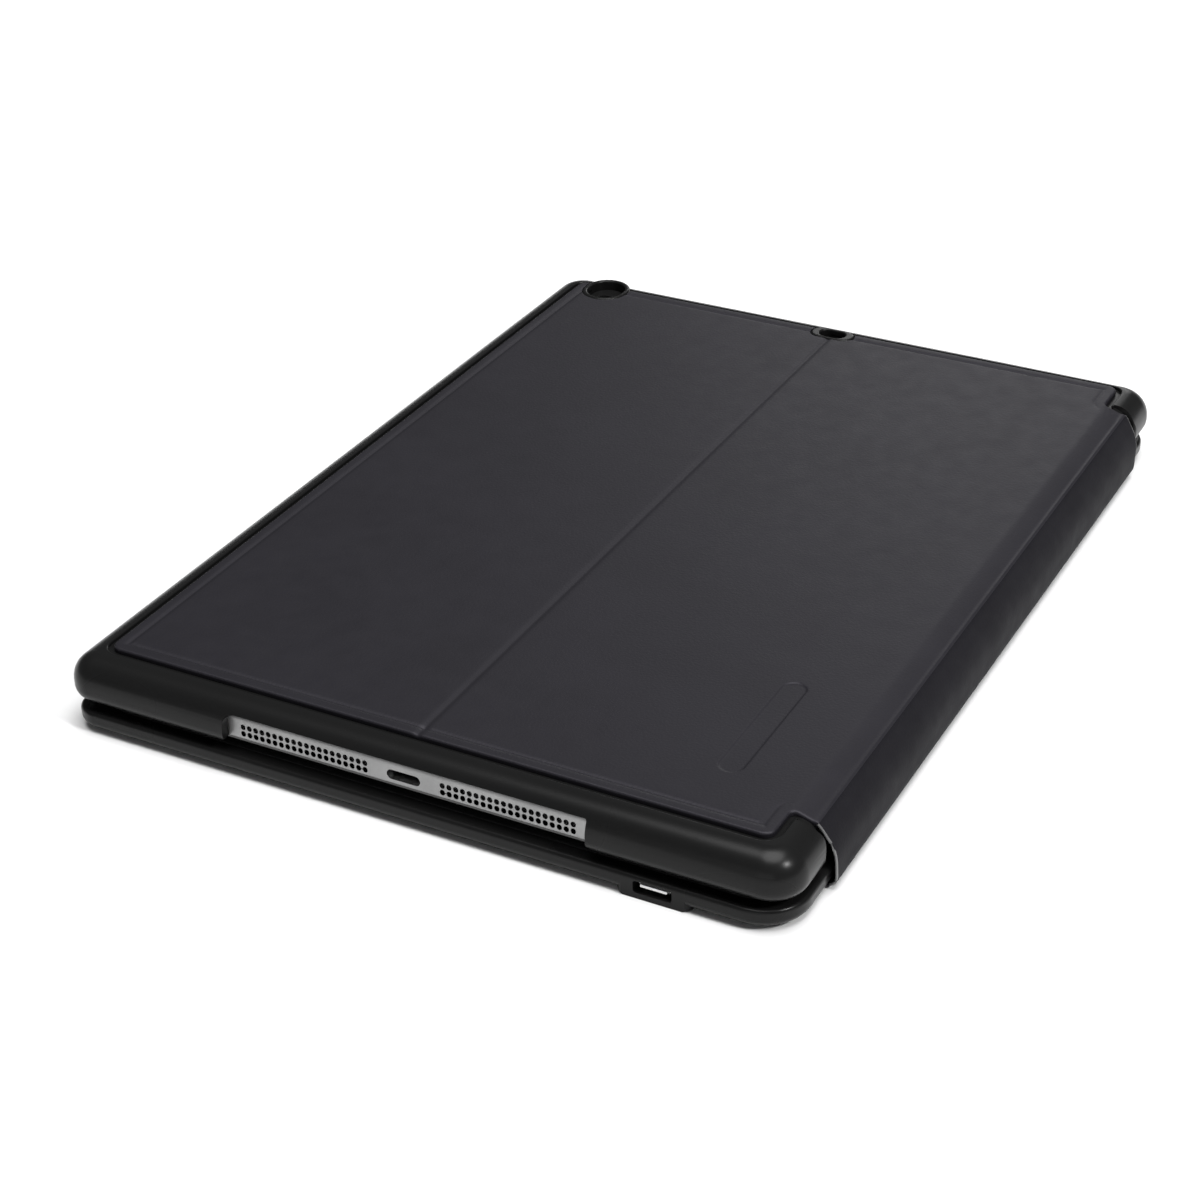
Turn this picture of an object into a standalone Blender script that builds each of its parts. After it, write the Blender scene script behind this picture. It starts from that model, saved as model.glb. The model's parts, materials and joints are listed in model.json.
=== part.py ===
"""Tablet keyboard case, closed and lying flat with its tablet in the tray.

X runs along the long side, with the tablet's port edge at +X. Y runs from the
free edge (-Y, where the user sits) to the spine (+Y). Z is up. The origin is
under the middle of the case, on the surface that it lies on. Sizes are metres.
"""
import math

import bmesh
import bpy
from mathutils import Matrix, Vector

# Whole case
HALF_LENGTH = 0.1225
HALF_DEPTH = 0.0896
FOLD_Y = -0.0022
GAP = 0.0003

# Tablet, screen down
TABLET_HALF_LENGTH = 0.1200
TABLET_HALF_WIDTH = 0.08475
TABLET_BOTTOM = 0.0076
TABLET_TOP = 0.0151
TABLET_CORNER = 0.0075
GLASS_TOP = 0.0086
CONNECTOR_HALF_WIDTH = 0.0041
CONNECTOR_Z = 0.0110
HOME_X = 0.1090
HOME_RADIUS = 0.0062
SIDE_BUTTON_Z = 0.0114
SLEEP_Y = -0.0650
VOLUME_X = -0.0900
JACK_Y = 0.0700

# Tray: a shell open downwards, whose wall at the spine stands back between its two corners
TRAY_BACK_Y = 0.0883
TRAY_WALL_Y = 0.0852
TRAY_WALL_TOP = 0.0156
TRAY_BOTTOM = 0.0069
TRAY_TOP = 0.0178
RECESS_FLOOR = 0.01695
RECESS_MARGIN = 0.0017
TRAY_CORNER = 0.0085
TRAY_TOP_RADIUS = 0.0060
TRAY_BOTTOM_RADIUS = 0.0036
TRAY_LIP_TOP = 0.0074
TRAY_LIP = 0.0010
PORT_CUTOUT_HALF = 0.0444
PORT_CUTOUT_TOP = 0.0153

# Back panel of the cover, in two halves that meet on the fold line
PANEL_TOP = 0.0183
PANEL_NEAR_X = 0.1138
PANEL_FAR_X = -0.1158
PANEL_FREE_Y = -0.0822
PANEL_NECK_Y = 0.0796
NECK_HALF_LENGTH = 0.1026
COVER_SKIN = 0.0006
BOARD_INSET = 0.0034
BOARD_BACK_Y = 0.0762

# Holes through the panel and the tray
CAMERA_X = -0.1132
CAMERA_Y = -0.0731
CAMERA_HOLE = (0.0130, 0.0105)
LENS_X = -0.1110
LENS_RADIUS = 0.0033
MICROPHONE_X = -0.1135
MICROPHONE_HOLE = (0.0050, 0.0076)

# Keyboard base
BASE_FRONT_Y = -0.0884
BASE_BACK_Y = 0.0880
BASE_BOTTOM = 0.0009
DECK_TOP = 0.0054
DECK_BOTTOM = 0.0042
BASE_CORNER = 0.0100
BASE_ROOM_HALF_LENGTH = 0.1190
BASE_ROOM_HALF_WIDTH = 0.0852
BASE_FLOOR = 0.0019
SKIN_BOTTOM = 0.0005
USB_Y = 0.0575
USB_Z = 0.00285
SOCKET_HALF_HEIGHT = 0.0011
SOCKET_HALF_WIDTH = 0.0038
SOCKET_WALL = 0.0004
SWITCH_SLOT = (0.0040, 0.0023, 0.0045)
BUTTON_PLACE = (0.1080, 0.0750)
LIGHT_PLACE = (0.0990, 0.0750)
GROOVE_HALF_LENGTH = 0.1000
GROOVE_FRONT_Y = 0.0515
GROOVE_BACK_Y = 0.0605
STRIP_TOP = 0.0062
FOOT_RADIUS = 0.0050
FOOT_HEIGHT = 0.00044

# Keys: six rows of island keys with a common web under each row
KEY_PITCH = 0.0170
ROW_PITCH = 0.0162
KEY_GAP = 0.0024
FUNCTION_ROW_DEPTH = 0.0090
KEY_TOP = 0.0063
WEB_TOP = 0.0039
WEB_BOTTOM = 0.0034
FIELD_HALF_LENGTH = 0.1150
FIELD_BACK_Y = 0.0440

# Joint axes
TILT_AXIS = (0.0, 0.0847, 0.01192)
FOLD_AXIS = (0.0, FOLD_Y, PANEL_TOP)
SPINE_AXIS = (0.0, 0.0879, 0.0022)


def clear_scene():
    for old in list(bpy.data.objects):
        bpy.data.objects.remove(old, do_unlink=True)


def new_collection(name):
    collection = bpy.data.collections.new(name)
    bpy.context.scene.collection.children.link(collection)
    return collection


def material(name, colour, roughness, metallic=0.0):
    made = bpy.data.materials.new(name)
    made.use_nodes = True
    shader = made.node_tree.nodes["Principled BSDF"]
    shader.inputs["Base Color"].default_value = (*colour, 1.0)
    shader.inputs["Roughness"].default_value = roughness
    shader.inputs["Metallic"].default_value = metallic
    made.diffuse_color = (*colour, 1.0)
    return made


def pivot(name, place, parent=None):
    """An empty on a joint's axis, which carries the pieces of one moving body."""
    empty = bpy.data.objects.new(name, None)
    empty.empty_display_size = 0.01
    PARTS.objects.link(empty)
    start = Vector((0.0, 0.0, 0.0))
    if parent is not None:
        empty.parent = parent
        start = Vector(parent["place"])
    empty["place"] = place
    empty.location = Vector(place) - start
    return empty


def mesh_object(name, bm, collection):
    mesh = bpy.data.meshes.new(name)
    bm.to_mesh(mesh)
    bm.free()
    obj = bpy.data.objects.new(name, mesh)
    collection.objects.link(obj)
    return obj


def rounded_box(name, low, high, corner=0.0, corner_steps=5, top=0.0, bottom=0.0, edge_steps=3):
    """A slab between two corners: plan corners rounded, then its top and bottom edges."""
    bm = bmesh.new()
    bmesh.ops.create_cube(bm, size=1.0)
    size = Vector(high) - Vector(low)
    centre = (Vector(high) + Vector(low)) / 2
    bmesh.ops.transform(bm, matrix=Matrix.Translation(centre) @ Matrix.Diagonal((*size, 1.0)), verts=bm.verts)
    if corner:
        upright = [edge for edge in bm.edges if abs(edge.verts[0].co.z - edge.verts[1].co.z) > size.z / 2]
        bmesh.ops.bevel(bm, geom=upright, offset=corner, segments=corner_steps, affect='EDGES', profile=0.5)
    obj = mesh_object(name, bm, PARTS)
    widest = max(top, bottom)
    if widest:
        weights = obj.data.attributes.new("bevel_weight_edge", 'FLOAT', 'EDGE')
        for edge in obj.data.edges:
            heights = [obj.data.vertices[index].co.z for index in edge.vertices]
            if min(heights) > high[2] - 1e-6:
                weights.data[edge.index].value = top / widest
            elif max(heights) < low[2] + 1e-6:
                weights.data[edge.index].value = bottom / widest
        bevel = obj.modifiers.new("Edges", 'BEVEL')
        bevel.limit_method = 'WEIGHT'
        bevel.width = widest
        bevel.segments = edge_steps
    return obj


def cylinder(name, centre, radius, depth, axis='Z', sides=24):
    turn = {'X': Matrix.Rotation(math.pi / 2, 4, 'Y'), 'Y': Matrix.Rotation(math.pi / 2, 4, 'X'),
            'Z': Matrix.Identity(4)}[axis]
    bm = bmesh.new()
    bmesh.ops.create_cone(bm, cap_ends=True, segments=sides, radius1=radius, radius2=radius, depth=depth,
                          matrix=Matrix.Translation(centre) @ turn)
    return mesh_object(name, bm, PARTS)


def strip(name, profile, half_length, thickness):
    """A bent sheet: a profile in Y and Z drawn out along X, thickened inwards."""
    bm = bmesh.new()
    near = [bm.verts.new((-half_length, y, z)) for y, z in profile]
    far = [bm.verts.new((half_length, y, z)) for y, z in profile]
    for index in range(len(profile) - 1):
        bm.faces.new((near[index], far[index], far[index + 1], near[index + 1]))
    obj = mesh_object(name, bm, PARTS)
    solid = obj.modifiers.new("Thickness", 'SOLIDIFY')
    solid.thickness = thickness
    solid.offset = -1.0
    solid.use_even_offset = True
    return obj


def combine(target, operation, *others):
    for other in others:
        step = target.modifiers.new(operation.title(), 'BOOLEAN')
        step.operation = operation
        step.solver = 'EXACT'
        step.object = other
        PARTS.objects.unlink(other)
        CUTTERS.objects.link(other)
        other.hide_render = True
        other.display_type = 'WIRE'


def cut(target, *others):
    combine(target, 'DIFFERENCE', *others)


def join(target, *others):
    combine(target, 'UNION', *others)


def piece(obj, name, finish, body=None):
    """Name a finished piece, give it its material and hang it on its body's pivot."""
    obj.name = name
    obj.data.name = name
    obj.data.materials.clear()
    obj.data.materials.append(finish)
    obj.data.shade_smooth()
    obj.data.set_sharp_from_angle(angle=math.radians(35))
    if body is not None:
        place = Vector(body["place"])
        obj.data.transform(Matrix.Translation(-place))
        obj.parent = body
    return obj


# ---- keyboard base -------------------------------------------------------------------------

def usb_boss(name):
    """The squared housing round the charging port, on the base's port-side face."""
    return rounded_box(name, (0.1175, USB_Y - 0.0072, BASE_BOTTOM - 0.0004),
                       (HALF_LENGTH - 0.0004, USB_Y + 0.0072, 0.0039))


def base_bottom_shell():
    shell = rounded_box("shell", (-HALF_LENGTH, BASE_FRONT_Y, BASE_BOTTOM),
                        (HALF_LENGTH, BASE_BACK_Y, DECK_TOP), BASE_CORNER, 6, top=0.0010, bottom=0.0026)
    hollow = rounded_box("hollow", (-BASE_ROOM_HALF_LENGTH, -BASE_ROOM_HALF_WIDTH, BASE_FLOOR),
                         (BASE_ROOM_HALF_LENGTH, BASE_ROOM_HALF_WIDTH, DECK_TOP + 0.001), 0.0100, 4)
    half_port = SOCKET_HALF_WIDTH + SOCKET_WALL
    port = rounded_box("port_slot", (0.1130, USB_Y - half_port, USB_Z - SOCKET_HALF_HEIGHT - 0.0002),
                       (HALF_LENGTH + 0.001, USB_Y + half_port, USB_Z + SOCKET_HALF_HEIGHT + 0.0002))
    half_slot, slot_low, slot_high = SWITCH_SLOT
    switch = rounded_box("switch_slot", (-HALF_LENGTH - 0.001, USB_Y - half_slot, slot_low),
                         (-0.1180, USB_Y + half_slot, slot_high))
    join(shell, usb_boss("boss"))
    cut(shell, hollow, port, switch)
    return piece(shell, "base_bottom_shell", PLASTIC)


def bottom_cover():
    cover = rounded_box("bottom_cover", (-0.1170, -0.0832, SKIN_BOTTOM),
                        (0.1170, 0.0850, BASE_BOTTOM - 0.0001), 0.0100, 5)
    return piece(cover, "bottom_cover", LAMINATE)


def row_places():
    """Each key row's name, its middle in Y and its depth, from the back row forwards."""
    names = ("function_key_row", "number_key_row", "upper_letter_key_row", "home_key_row",
             "lower_letter_key_row", "bottom_key_row")
    rows = [(names[0], FIELD_BACK_Y - FUNCTION_ROW_DEPTH / 2, FUNCTION_ROW_DEPTH)]
    back = FIELD_BACK_Y - FUNCTION_ROW_DEPTH
    for index, name in enumerate(names[1:]):
        rows.append((name, back - ROW_PITCH * (index + 0.5), ROW_PITCH))
    return rows


def deck_slot(low_x, high_x, middle, depth, clear):
    """The opening in the deck for one key row."""
    half = depth / 2 - KEY_GAP / 2 + clear
    return rounded_box("slot", (low_x - clear, middle - half, DECK_BOTTOM - 0.001),
                       (high_x + clear, middle + half, DECK_TOP + 0.002))


def keyboard_deck():
    half_length, half_width = BASE_ROOM_HALF_LENGTH - GAP, BASE_ROOM_HALF_WIDTH - GAP
    deck = rounded_box("deck", (-half_length, -half_width, DECK_BOTTOM), (half_length, half_width, DECK_TOP),
                       0.0097, 4)
    ridge = rounded_box("ridge", (-0.1100, 0.0464, DECK_BOTTOM + 0.0004), (0.1100, 0.0480, DECK_TOP + 0.0008))
    join(deck, ridge)
    for _, middle, depth in row_places():
        cut(deck, deck_slot(-FIELD_HALF_LENGTH, FIELD_HALF_LENGTH, middle, depth, 0.0004))
    groove = rounded_box("groove", (-GROOVE_HALF_LENGTH - GAP, GROOVE_FRONT_Y - GAP, DECK_TOP - 0.0007),
                         (GROOVE_HALF_LENGTH + GAP, GROOVE_BACK_Y + GAP, DECK_TOP + 0.001))
    button = cylinder("button_hole", (*BUTTON_PLACE, DECK_TOP), 0.0024, 0.006)
    light = cylinder("light_hole", (*LIGHT_PLACE, DECK_TOP), 0.0010, 0.006, sides=16)
    cut(deck, groove, button, light)
    return piece(deck, "keyboard_deck", DECK)


def row_keys(name):
    """The left and right end of each key in a row, in X."""
    counts = {"function_key_row": 14, "number_key_row": 13}
    gaps = KEY_GAP / 2
    left, right = -FIELD_HALF_LENGTH, FIELD_HALF_LENGTH
    if name in counts:
        pitch = (right - left) / counts[name]
        edges = [left + pitch * index for index in range(counts[name] + 1)]
    else:
        first = {"upper_letter_key_row": 1.25, "home_key_row": 1.55, "lower_letter_key_row": 2.05}[name]
        regular = {"upper_letter_key_row": 11, "home_key_row": 10, "lower_letter_key_row": 9}[name]
        edges = [left] + [left + KEY_PITCH * (first + index) for index in range(regular + 1)] + [right]
    return [(low + gaps, high - gaps) for low, high in zip(edges, edges[1:])]


def key_row(name, keys, middle, depth):
    """One row of keycaps standing on the thin web that joins them."""
    half = depth / 2 - KEY_GAP / 2
    web_half = half - 0.0010
    web = rounded_box("web", (keys[0][0], middle - web_half, WEB_BOTTOM),
                      (keys[-1][1], middle + web_half, WEB_TOP))
    for low, high in keys:
        cap = rounded_box("cap", (low, middle - half, WEB_TOP - 0.0002), (high, middle + half, KEY_TOP),
                          top=0.0003, edge_steps=1)
        join(web, cap)
    body = pivot(name + "_travel", (0.0, middle, WEB_BOTTOM))
    return piece(web, name, KEYCAP, body)


def bottom_row_keys():
    """The bottom row in three parts: left keys, space bar, right keys."""
    gaps = KEY_GAP / 2
    left, right = -FIELD_HALF_LENGTH, FIELD_HALF_LENGTH
    space_low, space_high = left + KEY_PITCH * 3.75, left + KEY_PITCH * 9.15
    left_edges = [left + (space_low - left) * index / 4 for index in range(5)]
    right_edges = [space_high + (right - space_high) * index / 5 for index in range(6)]
    parts = [("bottom_left_keys", left_edges), ("space_bar", [space_low, space_high]),
             ("bottom_right_keys", right_edges)]
    return [(name, [(low + gaps, high - gaps) for low, high in zip(edges, edges[1:])])
            for name, edges in parts]


def keys():
    for name, middle, depth in row_places():
        if name == "bottom_key_row":
            for part, part_keys in bottom_row_keys():
                key_row(part, part_keys, middle, depth)
        else:
            key_row(name, row_keys(name), middle, depth)


def base_electronics():
    membrane = rounded_box("membrane", (-0.1165, -0.0475, 0.0020), (0.1165, 0.0450, 0.0023))
    piece(membrane, "key_membrane", MEMBRANE)
    board = rounded_box("board", (0.0350, 0.0640, 0.0021), (0.1120, 0.0830, 0.0029))
    port_leg = rounded_box("board_leg", (0.0930, 0.0500, 0.0021), (0.1105, 0.0650, 0.0029))
    join(board, port_leg)
    piece(board, "circuit_board", BOARD)
    battery = rounded_box("battery", (-0.0700, -0.0800, 0.0020), (0.0100, -0.0500, 0.0040), 0.0010, 2)
    piece(battery, "battery", FOIL)
    socket = rounded_box("socket", (0.1133, USB_Y - SOCKET_HALF_WIDTH, USB_Z - SOCKET_HALF_HEIGHT),
                         (0.1219, USB_Y + SOCKET_HALF_WIDTH, USB_Z + SOCKET_HALF_HEIGHT))
    half_mouth, half_height = SOCKET_HALF_WIDTH - SOCKET_WALL, SOCKET_HALF_HEIGHT - SOCKET_WALL
    mouth = rounded_box("mouth", (0.1170, USB_Y - half_mouth, USB_Z - half_height),
                        (0.1250, USB_Y + half_mouth, USB_Z + half_height))
    cut(socket, mouth)
    piece(socket, "micro_usb_port", STEEL)


def base_fittings():
    for side, x in (("left", -0.0550), ("right", 0.0550)):
        magnet = rounded_box("magnet", (x - 0.0200, GROOVE_FRONT_Y + 0.0010, 0.0020),
                             (x + 0.0200, GROOVE_BACK_Y - 0.0010, 0.0040))
        piece(magnet, "docking_magnet_" + side, STEEL)
    strip_bar = rounded_box("strip", (-GROOVE_HALF_LENGTH, GROOVE_FRONT_Y, DECK_TOP - 0.0004),
                            (GROOVE_HALF_LENGTH, GROOVE_BACK_Y, STRIP_TOP))
    piece(strip_bar, "docking_strip", RUBBER)
    light = cylinder("light", (*LIGHT_PLACE, 0.0047), 0.0007, 0.0013, sides=16)
    piece(light, "status_light", LIGHT)
    for side, x in (("left", -0.0600), ("right", 0.0600)):
        bumper = cylinder("bumper", (x, -0.0867, DECK_TOP + 0.0006), 0.0012, 0.0011, sides=16)
        piece(bumper, "deck_bumper_" + side, RUBBER)
    for y, end in ((-0.0740, "front"), (0.0760, "rear")):
        for side, x in (("left", -0.1030), ("right", 0.1030)):
            foot = cylinder("foot", (x, y, FOOT_HEIGHT / 2), FOOT_RADIUS, FOOT_HEIGHT, sides=20)
            piece(foot, end + "_" + side + "_foot", RUBBER)


# ---- tray and tablet -----------------------------------------------------------------------

def cavity(name, half_length, half_width, corner, bottom, top):
    return rounded_box(name, (-half_length, FOLD_Y - half_width, bottom),
                       (half_length, FOLD_Y + half_width, top), corner, 5)


def obround_cutter(name, x, y, size, bottom, top):
    """An upright slot with round ends, size giving its extent in X and Y."""
    half_x, half_y = size[0] / 2, size[1] / 2
    return rounded_box(name, (x - half_x, y - half_y, bottom), (x + half_x, y + half_y, top),
                       min(half_x, half_y) * 0.98, 6)


def camera_cutter():
    return obround_cutter("camera_cut", CAMERA_X, CAMERA_Y, CAMERA_HOLE, 0.0120, 0.0200)


def microphone_cutter():
    return obround_cutter("microphone_cut", MICROPHONE_X, FOLD_Y, MICROPHONE_HOLE, 0.0120, 0.0200)


def panel_recess():
    """The shallow pocket in the tray's back that the cover lies in, open at the spine."""
    far, near = PANEL_FAR_X - RECESS_MARGIN, PANEL_NEAR_X + RECESS_MARGIN
    pocket = rounded_box("recess", (far, PANEL_FREE_Y - RECESS_MARGIN, RECESS_FLOOR),
                         (near, PANEL_NECK_Y + RECESS_MARGIN, TRAY_TOP + 0.001), 0.0030, 3)
    half_neck = NECK_HALF_LENGTH + RECESS_MARGIN
    neck = rounded_box("recess_neck", (-half_neck, PANEL_NECK_Y - 0.010, RECESS_FLOOR),
                       (half_neck, TRAY_BACK_Y + 0.001, TRAY_TOP + 0.001))
    slope = rounded_box("recess_slope", (-half_neck, PANEL_NECK_Y + RECESS_MARGIN + 0.0005, TRAY_WALL_TOP),
                        (half_neck, TRAY_BACK_Y + 0.001, TRAY_TOP + 0.001))
    join(pocket, neck, slope)
    return pocket


def tray_shell():
    shell = rounded_box("tray", (-HALF_LENGTH, -HALF_DEPTH, TRAY_BOTTOM),
                        (HALF_LENGTH, TRAY_BACK_Y, TRAY_TOP), TRAY_CORNER, 8,
                        top=TRAY_TOP_RADIUS, bottom=TRAY_BOTTOM_RADIUS, edge_steps=5)
    room = cavity("room", TABLET_HALF_LENGTH + GAP, TABLET_HALF_WIDTH + GAP, TABLET_CORNER + GAP,
                  TRAY_LIP_TOP, TABLET_TOP + 0.0002)
    mouth = cavity("mouth", TABLET_HALF_LENGTH - TRAY_LIP, TABLET_HALF_WIDTH - TRAY_LIP,
                   TABLET_CORNER - TRAY_LIP, TRAY_BOTTOM - 0.001, TRAY_LIP_TOP + 0.0001)
    port = rounded_box("port_cut",
                       (TABLET_HALF_LENGTH - 0.002, FOLD_Y - PORT_CUTOUT_HALF, TRAY_BOTTOM - 0.001),
                       (HALF_LENGTH + 0.001, FOLD_Y + PORT_CUTOUT_HALF, PORT_CUTOUT_TOP))
    low, high = SIDE_BUTTON_Z - 0.0022, SIDE_BUTTON_Z + 0.0022
    sleep = rounded_box("sleep_cut", (-HALF_LENGTH - 0.001, SLEEP_Y - 0.0070, low),
                        (-0.1195, SLEEP_Y + 0.0070, high))
    volume = rounded_box("volume_cut", (VOLUME_X - 0.0140, -HALF_DEPTH - 0.001, low),
                         (VOLUME_X + 0.0140, -0.0860, high))
    jack = cylinder("jack_cut", (-0.1210, JACK_Y, SIDE_BUTTON_Z), 0.0034, 0.006, axis='X')
    channel = rounded_box("bar_channel", (-0.1005, TILT_AXIS[1] - 0.0010, TILT_AXIS[2] - 0.0010),
                          (0.1005, TRAY_BACK_Y, TILT_AXIS[2] + 0.0010))
    half_relief = NECK_HALF_LENGTH + RECESS_MARGIN
    relief = rounded_box("spine_relief", (-half_relief, TRAY_WALL_Y, TRAY_BOTTOM - 0.001),
                         (half_relief, TRAY_BACK_Y + 0.001, TRAY_TOP + 0.001))
    cut(shell, room, mouth, port, sleep, volume, jack, channel, relief, panel_recess(),
        camera_cutter(), microphone_cutter())
    return piece(shell, "tray_shell", PLASTIC, TRAY)


def edge_bar():
    bar = cylinder("bar", TILT_AXIS, 0.00065, 0.2000, axis='X', sides=12)
    piece(bar, "tray_edge_bar", STEEL, EDGE)


def front_panel_cover():
    """The free-edge half of the back panel, bonded to the tray."""
    cover = rounded_box("front_panel", (PANEL_FAR_X, PANEL_FREE_Y, RECESS_FLOOR + 0.0001),
                        (PANEL_NEAR_X, FOLD_Y - 0.0002, PANEL_TOP), 0.0, 1, top=0.0004, edge_steps=2)
    cut(cover, camera_cutter(), microphone_cutter())
    return piece(cover, "front_panel_cover", LAMINATE, TRAY)


def tablet_housing():
    housing = cavity("housing", TABLET_HALF_LENGTH, TABLET_HALF_WIDTH, TABLET_CORNER, GLASS_TOP + 0.0001,
                     TABLET_TOP)
    connector = rounded_box("connector_cut", (0.1140, FOLD_Y - CONNECTOR_HALF_WIDTH, CONNECTOR_Z - 0.0012),
                            (0.1210, FOLD_Y + CONNECTOR_HALF_WIDTH, CONNECTOR_Z + 0.0012))
    lens = cylinder("lens_cut", (LENS_X, CAMERA_Y, TABLET_TOP), LENS_RADIUS + GAP, 0.003)
    home = cylinder("home_cut", (HOME_X, FOLD_Y, GLASS_TOP), HOME_RADIUS + 0.0004, 0.003)
    low, high = SIDE_BUTTON_Z - 0.0012, SIDE_BUTTON_Z + 0.0012
    sleep = rounded_box("sleep_pocket", (-0.1210, SLEEP_Y - 0.0052, low), (-0.1185, SLEEP_Y + 0.0052, high))
    volume = rounded_box("volume_pocket", (VOLUME_X - 0.0112, -0.0875, low),
                         (VOLUME_X + 0.0112, -0.0855, high))
    jack = cylinder("jack_hole", (-0.1150, JACK_Y, SIDE_BUTTON_Z), 0.0018, 0.014, axis='X', sides=16)
    cut(housing, connector, lens, home, sleep, volume, jack)
    return piece(housing, "tablet_housing", ALUMINIUM, TRAY)


def tablet_front():
    inset = 0.0004
    glass = cavity("glass", TABLET_HALF_LENGTH - inset, TABLET_HALF_WIDTH - inset, TABLET_CORNER - inset,
                   TABLET_BOTTOM, GLASS_TOP)
    cut(glass, cylinder("glass_home_cut", (HOME_X, FOLD_Y, GLASS_TOP), HOME_RADIUS + 0.0004, 0.006))
    piece(glass, "tablet_glass", GLASS, TRAY)
    lens = cylinder("lens", (LENS_X, CAMERA_Y, TABLET_TOP - 0.0005), LENS_RADIUS, 0.0013)
    piece(lens, "camera_lens", GLASS, TRAY)
    plug = rounded_box("connector", (0.1150, FOLD_Y - 0.0036, CONNECTOR_Z - 0.0004),
                       (0.1180, FOLD_Y + 0.0036, CONNECTOR_Z + 0.0004))
    piece(plug, "tablet_connector", STEEL, TRAY)


def tablet_buttons():
    home = cylinder("home", (HOME_X, FOLD_Y, TABLET_BOTTOM + 0.0009), HOME_RADIUS, 0.0014, sides=28)
    piece(home, "home_button", GLASS, pivot("home_button_travel", (HOME_X, FOLD_Y, TABLET_BOTTOM), TRAY))
    low, high = SIDE_BUTTON_Z - 0.0009, SIDE_BUTTON_Z + 0.0009
    sleep = rounded_box("sleep", (-0.1204, SLEEP_Y - 0.0047, low), (-0.1190, SLEEP_Y + 0.0047, high))
    piece(sleep, "sleep_button", ALUMINIUM,
          pivot("sleep_button_travel", (-0.1200, SLEEP_Y, SIDE_BUTTON_Z), TRAY))
    volume = rounded_box("volume", (VOLUME_X - 0.0107, -0.08735, low), (VOLUME_X + 0.0107, -0.0860, high))
    piece(volume, "volume_rocker", ALUMINIUM,
          pivot("volume_rocker_travel", (VOLUME_X, -0.0870, SIDE_BUTTON_Z), TRAY))


# ---- prop, the spine-side half of the back panel --------------------------------------------

def prop():
    """The spine-side half: its skin has a narrower neck, which leaves the tray's two corners bare."""
    cover = rounded_box("cover", (PANEL_FAR_X, FOLD_Y + 0.0002, PANEL_TOP - COVER_SKIN),
                        (PANEL_NEAR_X, PANEL_NECK_Y, PANEL_TOP))
    profile = [(PANEL_NECK_Y - 0.010, PANEL_TOP), (0.0798, PANEL_TOP), (0.0818, 0.0180), (0.0836, 0.0175),
               (0.0850, 0.0168)]
    join(cover, strip("neck", profile, NECK_HALF_LENGTH, COVER_SKIN))
    cut(cover, microphone_cutter())
    piece(cover, "prop_cover", LAMINATE, PROP)
    board = rounded_box("board", (PANEL_FAR_X + BOARD_INSET, FOLD_Y + 0.0012, RECESS_FLOOR + 0.0001),
                        (PANEL_NEAR_X - BOARD_INSET, BOARD_BACK_Y, PANEL_TOP - COVER_SKIN - 0.0001))
    cut(board, obround_cutter("board_microphone_cut", MICROPHONE_X, FOLD_Y, (0.0080, 0.0106), 0.012, 0.020))
    piece(board, "prop_board", STIFFENER, PROP)


# ---- spine -----------------------------------------------------------------------------------

def spine():
    outer = [(0.0856, 0.0164), (0.0868, 0.0150), (0.0879, 0.0132), (0.0887, 0.0113), (0.0893, 0.0090),
             (0.0896, 0.0066), (0.0896, 0.0028), (0.0891, 0.0017)]
    cover = strip("spine_skin", outer, NECK_HALF_LENGTH, COVER_SKIN)
    piece(cover, "spine_cover", LAMINATE, SPINE)
    inner = [(0.0870, 0.0130), (0.0878, 0.0110), (0.0884, 0.0085)]
    board = strip("spine_plate", inner, NECK_HALF_LENGTH - 0.002, 0.0005)
    piece(board, "spine_board", STIFFENER, SPINE)


# ---- controls --------------------------------------------------------------------------------

def controls():
    slider = rounded_box("slider", (-0.1222, USB_Y - 0.0020, 0.0027), (-0.1180, USB_Y + 0.0020, 0.0041))
    piece(slider, "power_switch", SWITCH, pivot("power_switch_travel", (-0.1200, USB_Y, 0.0034)))
    place = (*BUTTON_PLACE, 0.0046)
    button = cylinder("button", place, 0.0021, 0.0018)
    piece(button, "pairing_button", SWITCH, pivot("pairing_button_travel", place))


clear_scene()
PARTS = new_collection("tablet_keyboard_case")
CUTTERS = new_collection("cutters")

PLASTIC = material("satin_black_plastic", (0.020, 0.020, 0.021), 0.38)
DECK = material("soft_touch_deck", (0.030, 0.030, 0.032), 0.55)
LAMINATE = material("matte_laminate", (0.030, 0.029, 0.033), 0.62)
STIFFENER = material("board", (0.045, 0.043, 0.042), 0.85)
KEYCAP = material("keycap_plastic", (0.015, 0.015, 0.016), 0.50)
MEMBRANE = material("membrane", (0.35, 0.36, 0.36), 0.60)
BOARD = material("circuit_board", (0.02, 0.12, 0.06), 0.50)
FOIL = material("battery_foil", (0.55, 0.56, 0.58), 0.35)
STEEL = material("plated_steel", (0.60, 0.60, 0.61), 0.28, 1.0)
ALUMINIUM = material("blasted_aluminium", (0.56, 0.57, 0.58), 0.42, 1.0)
GLASS = material("black_glass", (0.008, 0.008, 0.009), 0.08)
RUBBER = material("rubber", (0.018, 0.018, 0.018), 0.85)
SWITCH = material("switch_plastic", (0.10, 0.10, 0.11), 0.45)
LIGHT = material("light_pipe", (0.80, 0.82, 0.80), 0.30)

EDGE = pivot("dock_slide_axis", TILT_AXIS)
TRAY = pivot("tray_tilt_axis", TILT_AXIS, EDGE)
PROP = pivot("fold_axis", FOLD_AXIS, TRAY)
SPINE = pivot("spine_axis", SPINE_AXIS)

base_bottom_shell()
bottom_cover()
keyboard_deck()
keys()
base_electronics()
base_fittings()
tray_shell()
edge_bar()
front_panel_cover()
tablet_housing()
tablet_front()
tablet_buttons()
prop()
spine()
controls()
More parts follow.
